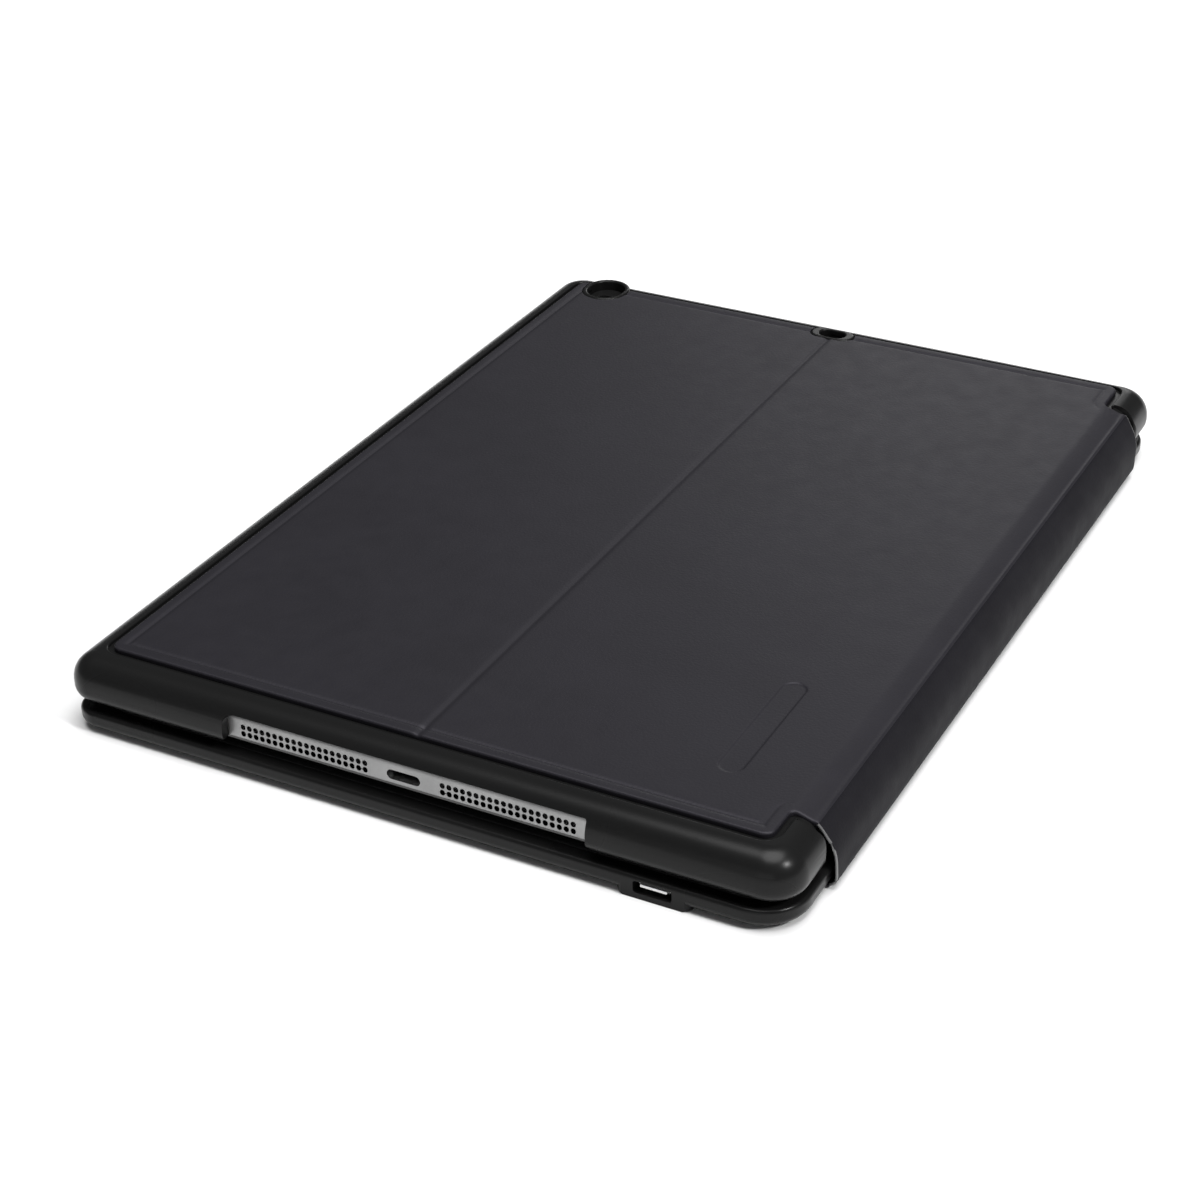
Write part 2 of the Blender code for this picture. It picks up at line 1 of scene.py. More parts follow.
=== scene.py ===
"""Looks of the tablet keyboard case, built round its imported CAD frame.

Everything is in the frame's metres: X along the long side towards the tablet's
port, Y from the free edge to the spine, Z up, with the closed case lying flat.
"""
import json
import math

import bmesh
import bpy
from mathutils import Matrix, Vector
from mathutils.geometry import delaunay_2d_cdt


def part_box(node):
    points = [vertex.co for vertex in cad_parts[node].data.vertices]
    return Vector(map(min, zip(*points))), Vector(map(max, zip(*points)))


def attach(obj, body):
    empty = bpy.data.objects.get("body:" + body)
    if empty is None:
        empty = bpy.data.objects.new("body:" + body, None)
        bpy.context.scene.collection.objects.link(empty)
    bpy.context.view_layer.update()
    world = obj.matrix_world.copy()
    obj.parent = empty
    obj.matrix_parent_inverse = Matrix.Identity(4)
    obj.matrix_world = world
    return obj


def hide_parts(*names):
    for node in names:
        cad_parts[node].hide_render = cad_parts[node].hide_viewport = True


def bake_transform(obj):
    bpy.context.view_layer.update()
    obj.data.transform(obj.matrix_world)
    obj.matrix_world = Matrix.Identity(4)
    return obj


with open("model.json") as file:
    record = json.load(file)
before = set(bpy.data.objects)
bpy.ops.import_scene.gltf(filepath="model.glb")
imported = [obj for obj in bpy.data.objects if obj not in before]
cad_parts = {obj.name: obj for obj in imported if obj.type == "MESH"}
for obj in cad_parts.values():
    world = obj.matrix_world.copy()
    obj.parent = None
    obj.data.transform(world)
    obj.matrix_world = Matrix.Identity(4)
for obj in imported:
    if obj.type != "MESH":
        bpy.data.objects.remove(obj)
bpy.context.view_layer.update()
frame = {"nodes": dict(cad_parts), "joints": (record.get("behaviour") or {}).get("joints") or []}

SLIVER = 0.000004

# Places from the CAD
TRAY_LOW, TRAY_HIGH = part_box("tray_shell")
BASE_LOW, BASE_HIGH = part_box("base_bottom_shell")
DECK_LOW, DECK_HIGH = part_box("keyboard_deck")
SKIN_LOW, SKIN_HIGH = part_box("bottom_cover")
FRONT_LOW, FRONT_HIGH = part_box("front_panel_cover")
TABLET_LOW, TABLET_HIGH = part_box("tablet_housing")
GLASS_LOW, GLASS_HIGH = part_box("tablet_glass")
SOCKET_LOW, SOCKET_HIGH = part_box("micro_usb_port")
FOLD_Y = next(joint["pos_m"][1] for joint in frame["joints"] if joint["name"] == "panel_fold")
PANEL_TOP = FRONT_HIGH.z

# Tray: its upper edge is rounder at the spine, where only its two corners stand out
TRAY_CORNERS = (0.0085, 0.0066, 0.0085, 0.0085)
TRAY_TOP_RADIUS = 0.0060
TRAY_SPINE_RADIUS = 0.0065
ROUNDER_FROM, ROUNDER_RUN = 0.0640, 0.0200
TRAY_BOTTOM_RADIUS = 0.0036
TRAY_WALL = ((0.0142, 0.0852), (0.0150, 0.0851), (0.0157, 0.0846), (0.0163, 0.0838), (0.0167, 0.0828),
             (0.0171, 0.0815), (0.0190, 0.0815))
EAR_X = 0.1048
EAR_ROUND = 0.0012
RECESS_FLOOR = 0.01695
RECESS_GAP = 0.0014
NEST_GAP = 0.0003
EDGE_RINGS = 10
LIP = 0.0010
LIP_TOP = 0.0074

# Cover panel
PANEL_CORNER = 0.0026
NOTCH_CENTRE = (0.1050, 0.0810)
NOTCH_RADIUS = 0.0014
CREASE_Y = 0.0855
PANEL_EDGE_RADIUS = 0.0006
PANEL_UNDERSIDE = RECESS_FLOOR + 0.00008
BORDER_INSET = 0.0030
BORDER_WIDTH = 0.00055
BORDER_DEPTH = 0.00030
FOLD_DEPTH = 0.00028
FOLD_HALF_WIDTH = 0.0008
ROLL_START = 0.0793
ROLL_SLOPE = 0.27
ROLL_EASE = 0.0008
ROLL_CURVE = 10.0
ROLL_THICKNESS = 0.0009
RIDGE_Y = 0.0851
RIDGE_WIDTH = 0.0005
RIDGE_RISE = 0.00032
NECK_STEPS = tuple(0.0818 + (CREASE_Y - 0.0818) * index / 8 for index in range(9))
MARK_CENTRE = (0.0780, 0.0620)
MARK_SIZE = (0.0380, 0.0056)
MARK_DEPTH = 0.00022

# Holes
CAMERA = (-0.1132, -0.0731)
CAMERA_HOLE = (0.0118, 0.0102)
CAMERA_BEZEL = (0.0150, 0.0134)
MICROPHONE = (-0.1135, FOLD_Y)
MICROPHONE_HOLE = (0.0046, 0.0074)
MICROPHONE_BEZEL = (0.0068, 0.0130)

# Tablet
TABLET_CORNER = 0.0075
CONNECTOR_Z = 0.0110
GRILLE = (0.0095, 0.0405)
GRILLE_HOLES = 20
BUTTON_Z = 0.0114
JACK_Y = 0.0700

# Keyboard base
BASE_CORNERS = (0.0085, 0.0062, 0.0110, 0.0110)
BASE_BOTTOM_RADIUS = 0.0022
DECK_TOP = BASE_HIGH.z
CAP_CHAMFER = 0.0003
KEY_CLEAR = 0.0004
USB_Y = (SOCKET_LOW.y + SOCKET_HIGH.y) / 2
USB_Z = (SOCKET_LOW.z + SOCKET_HIGH.z) / 2

# Lamps: name, place, target, size and power
LAMPS = (
    ("softbox", (0.20, 1.06, 1.00), (0.11, 0.08, 0.01), (0.20, 0.20), 11),
    ("behind", (-1.40, -0.30, 0.464), (0, 0, 0), (0.55, 0.40), 1.8),
    ("front_fill", (1.4, 0.2, 0.35), (0.1, 0, 0), (1.2, 0.5), 1.5),
)
SUN_POWER = 3.25
SUN_ANGLE = 44      # degrees across, for soft shadows
SUN_LEAN = -3.6
WORLD_STRENGTH = 0.10
FLOOR_REACH = 30.0

# Camera
VIEW_PLACE = (0.496061, 0.23967, 0.315044)
VIEW_TURNS = (('Z', 117.385), ('X', 59.625), ('Z', -0.438))
VIEW_LENS = 76.44


# ---- mesh helpers ----

def smooth_step(value):
    value = min(max(value, 0.0), 1.0)
    return value * value * (3 - 2 * value)


def linked(name, data):
    obj = bpy.data.objects.new(name, data)
    bpy.context.scene.collection.objects.link(obj)
    return obj


def mesh_object(name, bm):
    bmesh.ops.recalc_face_normals(bm, faces=bm.faces)
    mesh = bpy.data.meshes.new(name)
    bm.to_mesh(mesh)
    bm.free()
    return linked(name, mesh)


def loft(name, loops):
    """A closed form through loops of equal length, with flat ends."""
    bm = bmesh.new()
    rings = [[bm.verts.new(point) for point in loop] for loop in loops]
    count = len(rings[0])
    for lower, upper in zip(rings, rings[1:]):
        for index in range(count):
            after = (index + 1) % count
            bm.faces.new((lower[index], lower[after], upper[after], upper[index]))
    bm.faces.new(list(reversed(rings[0])))
    bm.faces.new(rings[-1])
    return mesh_object(name, bm)


def at_height(plan, z):
    return [(x, y, z) for x, y in plan]


def centre(node):
    low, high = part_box(node)
    return (low + high) / 2


def arc(centre, radius, start, end, steps):
    angles = [math.radians(start + (end - start) * index / steps) for index in range(steps + 1)]
    return [(centre[0] + radius * math.cos(turn), centre[1] + radius * math.sin(turn)) for turn in angles]


def circle(centre, radius):
    """48 points round a circle."""
    return arc(centre, radius, 0, 352.5, 47)


def around(place, half_x, half_y):
    """A plan box's low and high corners, from its middle."""
    return (place[0] - half_x, place[1] - half_y), (place[0] + half_x, place[1] + half_y)


def grown(low, high, by):
    """A plan box's corners, moved outwards."""
    return (low[0] - by, low[1] - by), (high[0] + by, high[1] + by)


def rounded_outline(low, high, radius, steps=8):
    """A rounded rectangle, anticlockwise; the radius is one number or four, from low X, low Y on."""
    radii = radius if isinstance(radius, tuple) else (radius,) * 4
    radii = [max(value, 0.00002) for value in radii]
    signs = ((1, 1, 180), (-1, 1, 270), (-1, -1, 0), (1, -1, 90))
    points = []
    for value, (side_x, side_y, start) in zip(radii, signs):
        corner_x = low[0] if side_x > 0 else high[0]
        corner_y = low[1] if side_y > 0 else high[1]
        centre = (corner_x + side_x * value, corner_y + side_y * value)
        points += arc(centre, value, start, start + 90, steps)
    return points


def edge_rings(radius, steps, rising):
    """Inset and height pairs of a quarter-round edge, from its face outwards or back."""
    if not radius:
        return [(0.0, 0.0)]
    turns = [math.pi / 2 * index / steps for index in range(steps + 1)]
    rings = [(radius * (1 - math.sin(turn)), radius * (1 - math.cos(turn))) for turn in turns]
    return rings if rising else [(inset, -height) for inset, height in reversed(rings)]


def slab(name, low, high, corner, top=0.0, bottom=0.0, edge_steps=6, corner_steps=8):
    """A slab with rounded plan corners and quarter-round upper and lower edges."""
    hold = 0.0002
    levels = [(inset, low[2] + height) for inset, height in edge_rings(bottom, edge_steps, True)]
    levels += [(inset, high[2] + height) for inset, height in edge_rings(top, edge_steps, False)]
    levels = [(bottom + hold, low[2]), *levels, (top + hold, high[2])]
    loops = []
    for inset, z in levels:
        radii = corner if isinstance(corner, tuple) else (corner,) * 4
        rounds = tuple(max(value - inset, 0.0001) for value in radii)
        loops.append(at_height(rounded_outline(*grown(low, high, -inset), rounds, corner_steps), z))
    return loft(name, loops)


def upright(outline, low, high, flare=0.0):
    """A cutter along Z whose mouth widens by the flare over its last stretch."""
    middle = (sum(x for x, _ in outline) / len(outline), sum(y for _, y in outline) / len(outline))
    loops = [at_height(outline, low), at_height(outline, high - flare)]
    if flare:
        for step in range(1, 5):
            turn = math.pi / 2 * step / 4
            out, up = flare * (1 - math.cos(turn)), flare * math.sin(turn)
            loops.append([widened(point, middle, out) + (high - flare + up,) for point in outline])
    loops.append([(x, y, high + 0.002) for x, y, _ in loops[-1]])
    return loft("cutter", loops)


def widened(point, middle, distance):
    away = Vector(point) - Vector(middle)
    away = away + away.normalized() * distance
    return (away.x + middle[0], away.y + middle[1])


def sideways(outline, low, high, axis='X'):
    """A cutter whose outline lies in Y and Z, drawn along X, or in X and Z, drawn along Y."""
    if axis == 'X':
        return loft("cutter", [[(low, a, b) for a, b in outline], [(high, a, b) for a, b in outline]])
    return loft("cutter", [[(a, low, b) for a, b in outline], [(a, high, b) for a, b in outline]])


def obround(centre, size, steps=10):
    half = (size[0] / 2, size[1] / 2)
    return rounded_outline(*around(centre, *half), min(half) * 0.999, steps)


def settle(obj):
    """Replace an object's mesh by what its modifiers make of it."""
    graph = bpy.context.evaluated_depsgraph_get()
    made = bpy.data.meshes.new_from_object(obj.evaluated_get(graph))
    obj.modifiers.clear()
    obj.data = made


def carve(obj, *cutters, operation='DIFFERENCE'):
    for cutter in cutters:
        step = obj.modifiers.new("Carve", 'BOOLEAN')
        step.operation = operation
        step.solver = 'EXACT'
        step.object = cutter
    settle(obj)
    clean(obj.data)
    for cutter in cutters:
        bpy.data.objects.remove(cutter, do_unlink=True)


def clean(mesh):
    """Close up the slivers that a cut leaves."""
    bm = bmesh.new()
    bm.from_mesh(mesh)
    bmesh.ops.remove_doubles(bm, verts=bm.verts, dist=SLIVER)
    bmesh.ops.dissolve_degenerate(bm, dist=SLIVER, edges=bm.edges)
    bm.to_mesh(mesh)
    bm.free()


def soften(obj, width):
    """Break an object's hard edges with a small bevel."""
    bevel = obj.modifiers.new("Soften", 'BEVEL')
    bevel.width = width
    bevel.segments = 2
    bevel.limit_method = 'ANGLE'
    bevel.angle_limit = math.radians(40)
    settle(obj)


def joined(name, objects):
    """Several objects as one, without changing their faces."""
    bm = bmesh.new()
    for obj in objects:
        bm.from_mesh(obj.data)
        bpy.data.objects.remove(obj, do_unlink=True)
    return mesh_object(name, bm)


def tube(name, path, radius, sides=8):
    """A round bead along a path, with closed ends."""
    points = [Vector(point) for point in path]
    loops = []
    for index, point in enumerate(points):
        before, after = points[max(index - 1, 0)], points[min(index + 1, len(points) - 1)]
        along = (after - before).normalized()
        side = along.cross(Vector((0, 0, 1)) if abs(along.z) < 0.9 else Vector((1, 0, 0))).normalized()
        rise = side.cross(along)
        loops.append([point + radius * (side * math.cos(turn) + rise * math.sin(turn))
                      for turn in (math.tau * step / sides for step in range(sides))])
    return loft(name, loops)


# ---- finishes ----

class Finish:
    """A Principled material with its node tree at hand."""

    def __init__(self, name, colour, roughness, **values):
        self.material = bpy.data.materials.new(name)
        self.material.use_nodes = True
        self.nodes = self.material.node_tree.nodes
        self.links = self.material.node_tree.links
        self.shader = self.nodes["Principled BSDF"]
        self.shader.inputs["Base Color"].default_value = (*colour, 1.0)
        self.shader.inputs["Roughness"].default_value = roughness
        for socket, value in values.items():
            self.shader.inputs[socket.replace("_", " ")].default_value = value
        self.place = self.nodes.new("ShaderNodeTexCoord").outputs["Object"]
        self.normal = None

    def pattern(self, node, size):
        """Lays a texture out in the object's own metres, with features about the size given."""
        node.inputs["Scale"].default_value = 1.0 / size
        self.links.new(self.place, node.inputs["Vector"])

    def noise(self, size, detail=3.0):
        node = self.nodes.new("ShaderNodeTexNoise")
        node.inputs["Detail"].default_value = detail
        self.pattern(node, size)
        return node.outputs["Fac"]

    def cells(self, size, feature):
        node = self.nodes.new("ShaderNodeTexVoronoi")
        node.feature = feature
        if feature == 'SMOOTH_F1':
            node.inputs["Smoothness"].default_value = 0.6
        self.pattern(node, size)
        return node.outputs["Distance"]

    def rough(self, size, low, high, detail=3.0):
        """Roughness that drifts between two values."""
        node = self.nodes.new("ShaderNodeMapRange")
        for socket, value in zip(("From Min", "From Max", "To Min", "To Max"), (0.3, 0.7, low, high)):
            node.inputs[socket].default_value = value
        self.links.new(self.noise(size, detail), node.inputs["Value"])
        self.links.new(node.outputs["Result"], self.shader.inputs["Roughness"])
        return self

    def tint(self, size, first, second, detail=3.0):
        """Colour that drifts between two tones."""
        ramp = self.nodes.new("ShaderNodeValToRGB")
        for element, place, colour in zip(ramp.color_ramp.elements, (0.35, 0.65), (first, second)):
            element.position = place
            element.color = (*colour, 1.0)
        self.links.new(self.noise(size, detail), ramp.inputs["Fac"])
        self.links.new(ramp.outputs["Color"], self.shader.inputs["Base Color"])
        return self

    def bump(self, size, height, detail=3.0, cells=None):
        """Relief of the given height in metres, on top of any earlier relief."""
        node = self.nodes.new("ShaderNodeBump")
        node.inputs["Strength"].default_value = 1.0
        node.inputs["Distance"].default_value = height
        source = self.cells(size, cells) if cells else self.noise(size, detail)
        self.links.new(source, node.inputs["Height"])
        if self.normal is not None:
            self.links.new(self.normal, node.inputs["Normal"])
        self.normal = node.outputs["Normal"]
        self.links.new(self.normal, self.shader.inputs["Normal"])
        return self


def grey(value):
    return (value, value, value)


def make_finishes():
    """Every finish by name. A texture's first number is the size of its features."""
    made = {
        "plastic": Finish("moulded_satin_plastic", grey(0.0080), 0.28, Specular_IOR_Level=0.16)
        .tint(0.060, grey(0.0078), grey(0.0083), detail=0.0).rough(0.030, 0.27, 0.30, detail=0.0)
        .bump(0.00035, 0.000004, detail=0.0).bump(0.030, 0.00002, detail=0.0),
        "laminate": Finish("cover_laminate", (0.0108, 0.0102, 0.0130), 0.50, Specular_IOR_Level=0.30,
                           Specular_Tint=(0.93, 0.90, 1.0, 1.0))
        .tint(0.022, (0.0102, 0.0096, 0.0122), (0.0115, 0.0109, 0.0138)).rough(0.006, 0.48, 0.54)
        .bump(0.00065, 0.000022, cells='SMOOTH_F1').bump(0.00025, 0.000006, detail=2.0),
        # The spine's laminate is the cover laminate made darker and far less shiny: painted shade on the
        # spine's slopes, which turn away from the light.
        "spine": Finish("spine_laminate", (0.0092, 0.0087, 0.0110), 0.60, Specular_IOR_Level=0.06)
        .tint(0.022, (0.0086, 0.0081, 0.0103), (0.0098, 0.0093, 0.0118)).rough(0.006, 0.56, 0.64)
        .bump(0.00065, 0.000022, cells='SMOOTH_F1').bump(0.00025, 0.000006, detail=2.0),
        # Edge paint on the laminate's cut ends, made a light grey: real edge paint, with a painted highlight
        # along the thin edge.
        "edge": Finish("painted_laminate_edge", grey(0.11), 0.26, Coat_Weight=0.4)
        .rough(0.002, 0.26, 0.36).bump(0.0008, 0.00002),
        "metal": Finish("blasted_aluminium", grey(0.29), 0.42, Metallic=1.0)
        .tint(0.010, grey(0.27), grey(0.31)).rough(0.0006, 0.38, 0.48, detail=2.0)
        .bump(0.00012, 0.000006, detail=2.0),
        "nickel": Finish("brushed_nickel", grey(0.80), 0.45, Metallic=0.5)
        .rough(0.0015, 0.40, 0.52).bump(0.0004, 0.000004),
        "steel": Finish("plated_steel", grey(0.62), 0.24, Metallic=1.0)
        .rough(0.0015, 0.18, 0.32).bump(0.0004, 0.000004),
        "glass": Finish("cover_glass", grey(0.004), 0.05, Coat_Weight=0.3)
        .rough(0.020, 0.04, 0.07).tint(0.050, grey(0.0035), grey(0.0050)),
        "rubber": Finish("moulded_rubber", grey(0.014), 0.8).rough(0.001, 0.74, 0.86).bump(0.0003, 0.00002),
        "keycap": Finish("keycap_plastic", grey(0.012), 0.46)
        .rough(0.003, 0.42, 0.52).bump(0.00022, 0.000010, detail=2.0),
        "deck": Finish("soft_touch_deck", grey(0.020), 0.55)
        .rough(0.006, 0.50, 0.60).bump(0.00030, 0.000008, detail=2.0),
        "legend": Finish("legend_print", grey(0.62), 0.5).rough(0.0008, 0.45, 0.6),
        "board": Finish("fibre_board", (0.045, 0.043, 0.042), 0.85)
        .tint(0.002, (0.040, 0.038, 0.036), (0.055, 0.052, 0.050)).bump(0.0005, 0.00004),
        "circuit": Finish("solder_mask", (0.02, 0.12, 0.06), 0.40)
        .tint(0.004, (0.015, 0.10, 0.05), (0.03, 0.14, 0.07)).bump(0.0015, 0.00005, cells='F1'),
        "membrane": Finish("polyester_membrane", (0.35, 0.36, 0.36), 0.50).rough(0.004, 0.4, 0.6),
        "foil": Finish("foil_pouch", grey(0.55), 0.35, Metallic=0.9)
        .bump(0.003, 0.0001).rough(0.002, 0.3, 0.5),
        "light": Finish("light_pipe", (0.80, 0.82, 0.80), 0.30, Transmission_Weight=0.4)
        .rough(0.001, 0.25, 0.4),
        "switch": Finish("switch_plastic", grey(0.05), 0.42).rough(0.002, 0.38, 0.50).bump(0.0003, 0.00001),
    }
    return {name: finish.material for name, finish in made.items()}


FINISHES = make_finishes()


def present(obj, name, finish, body=None, replaces=(), sharp=32):
    """Name a piece, finish it, and hang it on its CAD body."""
    obj.name = name
    obj.data.name = name
    obj.data.materials.clear()
    obj.data.materials.append(FINISHES[finish])
    obj.data.shade_smooth()
    obj.data.set_sharp_from_angle(angle=math.radians(sharp))
    obj.modifiers.new("Normals", 'WEIGHTED_NORMAL').keep_sharp = True
    if body:
        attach(obj, body)
    if replaces:
        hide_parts(*replaces)


# ---- cover panel ----

def panel_outline(inset, xs, ys):
    """The back panel's edge, moved inwards, with points on the given grid lines.

    It is a rectangle with a round-ended notch at each spine-side corner.
    """
    near, far, free = FRONT_HIGH.x, FRONT_LOW.x, FRONT_LOW.y
    ledge = NOTCH_CENTRE[1] - NOTCH_RADIUS

    def corner(x, y, side_x, side_y, start):
        radius = max(PANEL_CORNER - inset, 0.0003)
        centre = (x - side_x * (inset + radius), y - side_y * (inset + radius))
        return arc(centre, radius, start, start + 90, 6)

    reach = NOTCH_RADIUS + inset
    notch = max(reach, 0.0002)
    neck_x = NOTCH_CENTRE[0] - reach
    turn_x, turn_y = neck_x + notch, NOTCH_CENTRE[1] - reach + notch
    near_notch = arc((turn_x, turn_y), notch, 270, 180, 10) + [(neck_x, y) for y in NECK_STEPS]
    far_notch = [(-neck_x, y) for y in reversed(NECK_STEPS)] + arc((-turn_x, turn_y), notch, 0, -90, 10)
    stations = [
        corner(near, free, 1, -1, 270), corner(near, ledge, 1, 1, 0), near_notch,
        far_notch, corner(far, ledge, -1, 1, 90), corner(far, free, -1, -1, 180),
    ]
    points = []
    for index, station in enumerate(stations):
        points += station
        start, end = station[-1], stations[(index + 1) % len(stations)][0]
        axis = 0 if abs(end[0] - start[0]) > abs(end[1] - start[1]) else 1
        lines = xs if axis == 0 else ys
        low, high = sorted((start[axis], end[axis]))
        between = [line for line in lines if low + 0.0002 < line < high - 0.0002]
        if end[axis] < start[axis]:
            between.reverse()
        for line in between:
            share = (line - start[axis]) / (end[axis] - start[axis])
            points.append(tuple(a + (b - a) * share for a, b in zip(start, end)))
    return points


def stadium_distance(x, y, centre, size):
    """Signed distance from a bar with round ends, negative inside."""
    radius = size[1] / 2
    reach = size[0] / 2 - radius
    off = max(abs(x - centre[0]) - reach, 0.0)
    return math.hypot(off, y - centre[1]) - radius


def roll_drop(y):
    """How far the cover has rolled down over the tray's rounded spine edge."""
    past = max(y - ROLL_START, 0.0)
    return ROLL_SLOPE * (math.hypot(past, ROLL_EASE) - ROLL_EASE) + ROLL_CURVE * past ** 2


def panel_height(x, y, inset):
    """Height of the cover's outer face over its plan."""
    z = PANEL_TOP
    z -= FOLD_DEPTH * math.exp(-((y - FOLD_Y) / FOLD_HALF_WIDTH) ** 2)
    z -= roll_drop(y)
    z += RIDGE_RISE * math.exp(-((y - RIDGE_Y) / RIDGE_WIDTH) ** 2)
    fade = 1 - smooth_step((y - 0.0740) / 0.0060)
    z -= BORDER_DEPTH * fade * math.exp(-((inset - BORDER_INSET) / BORDER_WIDTH) ** 2)
    mark = stadium_distance(x, y, MARK_CENTRE, MARK_SIZE)
    z -= MARK_DEPTH * (1 - smooth_step((mark + 0.0003) / 0.0006))
    if inset < PANEL_EDGE_RADIUS and y < CREASE_Y - 0.0001:
        reach = PANEL_EDGE_RADIUS - inset
        z -= PANEL_EDGE_RADIUS - math.sqrt(max(PANEL_EDGE_RADIUS ** 2 - reach ** 2, 0))
    return z


def spaced(low, high, step):
    count = max(int(round((high - low) / step)), 1)
    return [low + (high - low) * index / count for index in range(count + 1)]


def fine_lines():
    """Grid lines across the panel, close together where it is shaped."""
    xs = spaced(FRONT_LOW.x + 0.001, FRONT_HIGH.x - 0.001, 0.0045)
    near_fold = [0.00025, 0.0005, 0.0008, 0.0011, 0.0015, 0.0019, 0.0024, 0.0032, 0.0045]
    ys = spaced(FRONT_LOW.y + 0.001, FOLD_Y - 0.0060, 0.0045)
    ys += [FOLD_Y - step for step in reversed(near_fold)] + [FOLD_Y] + [FOLD_Y + step for step in near_fold]
    ys += spaced(FOLD_Y + 0.0060, ROLL_START - 0.004, 0.0045)
    ys += spaced(ROLL_START - 0.002, RIDGE_Y - 0.0016, 0.0005)
    ys += spaced(RIDGE_Y - 0.0013, CREASE_Y - 0.0002, 0.00022)
    return xs, sorted(ys)


def mark_points():
    """Loops of points that hold the debossed mark's wall."""
    loops = []
    for grow in (-0.0006, -0.0003, -0.0001, 0.0001, 0.0003, 0.0006):
        size = (MARK_SIZE[0] + 2 * grow, MARK_SIZE[1] + 2 * grow)
        loops.append(obround(MARK_CENTRE, size, 8))
    return loops


def panel_skin():
    """The back panel in one piece, with its pressed edge line, its fold and its roll down to the spine."""
    xs, ys = fine_lines()
    insets = [0.0, 0.00004, 0.00016, 0.00035, PANEL_EDGE_RADIUS, 0.0012, 0.0019, 0.0023, 0.0026, 0.0028,
              BORDER_INSET, 0.0032, 0.0034, 0.0037, 0.0042]
    rings = [panel_outline(inset, xs, ys) for inset in insets]
    points, insets_of, edges = [], [], []
    for inset, ring in zip(insets, rings):
        first = len(points)
        for index, point in enumerate(ring):
            points.append(Vector(point))
            insets_of.append(inset)
            edges.append((first + index, first + (index + 1) % len(ring)))
    for ring in mark_points():
        first = len(points)
        points += [Vector(point) for point in ring]
        insets_of += [1.0] * len(ring)
        edges += [(first + index, first + (index + 1) % len(ring)) for index in range(len(ring))]
    clear = insets[-1] + 0.0008
    ledge = NOTCH_CENTRE[1] - NOTCH_RADIUS
    for x in xs:
        for y in ys:
            inside = FRONT_LOW.x + clear < x < FRONT_HIGH.x - clear and y > FRONT_LOW.y + clear
            in_neck = abs(x) < NOTCH_CENTRE[0] - NOTCH_RADIUS - clear and y < CREASE_Y - 0.0002
            near_mark = abs(stadium_distance(x, y, MARK_CENTRE, MARK_SIZE)) < 0.0008
            if inside and not near_mark and (y < ledge - clear or in_neck):
                points.append(Vector((x, y)))
                insets_of.append(1.0)
    made, _, faces, origins, _, _ = delaunay_2d_cdt(points, edges, [], 1, 1e-7)
    bm = bmesh.new()
    insets_at = [min((insets_of[index] for index in origin), default=1.0) for origin in origins]
    top = [bm.verts.new((p.x, p.y, panel_height(p.x, p.y, inset))) for p, inset in zip(made, insets_at)]
    for face in faces:
        middle = sum((made[index] for index in face), Vector((0, 0))) / len(face)
        if inside_outline(middle, rings[0]):
            bm.faces.new([top[index] for index in face])
    loose = [vert for vert in bm.verts if not vert.link_faces]
    bmesh.ops.delete(bm, geom=loose, context='VERTS')
    under = {}
    for vert in bm.verts[:]:
        x, y, _ = vert.co
        under[vert] = bm.verts.new((x, y, min(PANEL_UNDERSIDE, PANEL_TOP - roll_drop(y) - ROLL_THICKNESS)))
    rim = [tuple(edge.verts) for edge in bm.edges if edge.is_boundary]
    for face in bm.faces[:]:
        bm.faces.new([under[vert] for vert in reversed(face.verts)])
    for first, second in rim:
        bm.faces.new((first, second, under[second], under[first]))
    return mesh_object("panel_skin", bm)


def inside_outline(point, outline):
    inside = False
    for index, (x1, y1) in enumerate(outline):
        x2, y2 = outline[index - 1]
        if (y1 > point.y) != (y2 > point.y) and point.x < (x2 - x1) * (point.y - y1) / (y2 - y1) + x1:
            inside = not inside
    return inside


def build_panel():
    skin = panel_skin()
    carve(skin, upright(obround(CAMERA, CAMERA_BEZEL), 0.0160, 0.0190),
          upright(obround(MICROPHONE, MICROPHONE_BEZEL), 0.0160, 0.0190))
    present(skin, "cover_panel", "laminate", replaces=("front_panel_cover", "prop_cover"), sharp=50)
    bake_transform(skin)


# ---- spine ----

SPINE_PROFILE = [
    (0.08550, 0.01661), (0.08585, 0.01625), (0.08625, 0.01575), (0.08670, 0.01505), (0.08750, 0.01380),
    (0.08830, 0.01250), (0.08905, 0.01070), (0.08940, 0.00930), (0.08957, 0.00780), (0.08960, 0.00640),
    (0.08960, 0.00500), (0.08960, 0.00400), (0.08958, 0.00320), (0.08945, 0.00240), (0.08915, 0.00175),
    (0.08870, 0.00120), (0.08805, 0.00078), (0.08720, 0.00056), (0.08600, 0.00052), (0.08510, 0.00052),
]
SPINE_THICKNESS = 0.0006
SPINE_UNDER_THICKNESS = 0.00034
SPINE_BODY_COUNT = 17   # profile points above the underside


def spine_end(z):
    """Half the spine's length at a height: its ends slant inwards towards the base."""
    return 0.1018 + 0.0018 * min(max((z - 0.0030) / 0.0145, 0.0), 1.0)


def profile_normals(profile):
    normals = []
    for index in range(len(profile)):
        (y1, z1), (y2, z2) = profile[max(index - 1, 0)], profile[min(index + 1, len(profile) - 1)]
        run = math.hypot(y2 - y1, z2 - z1)
        normals.append(((z2 - z1) / run, -(y2 - y1) / run))
    return normals


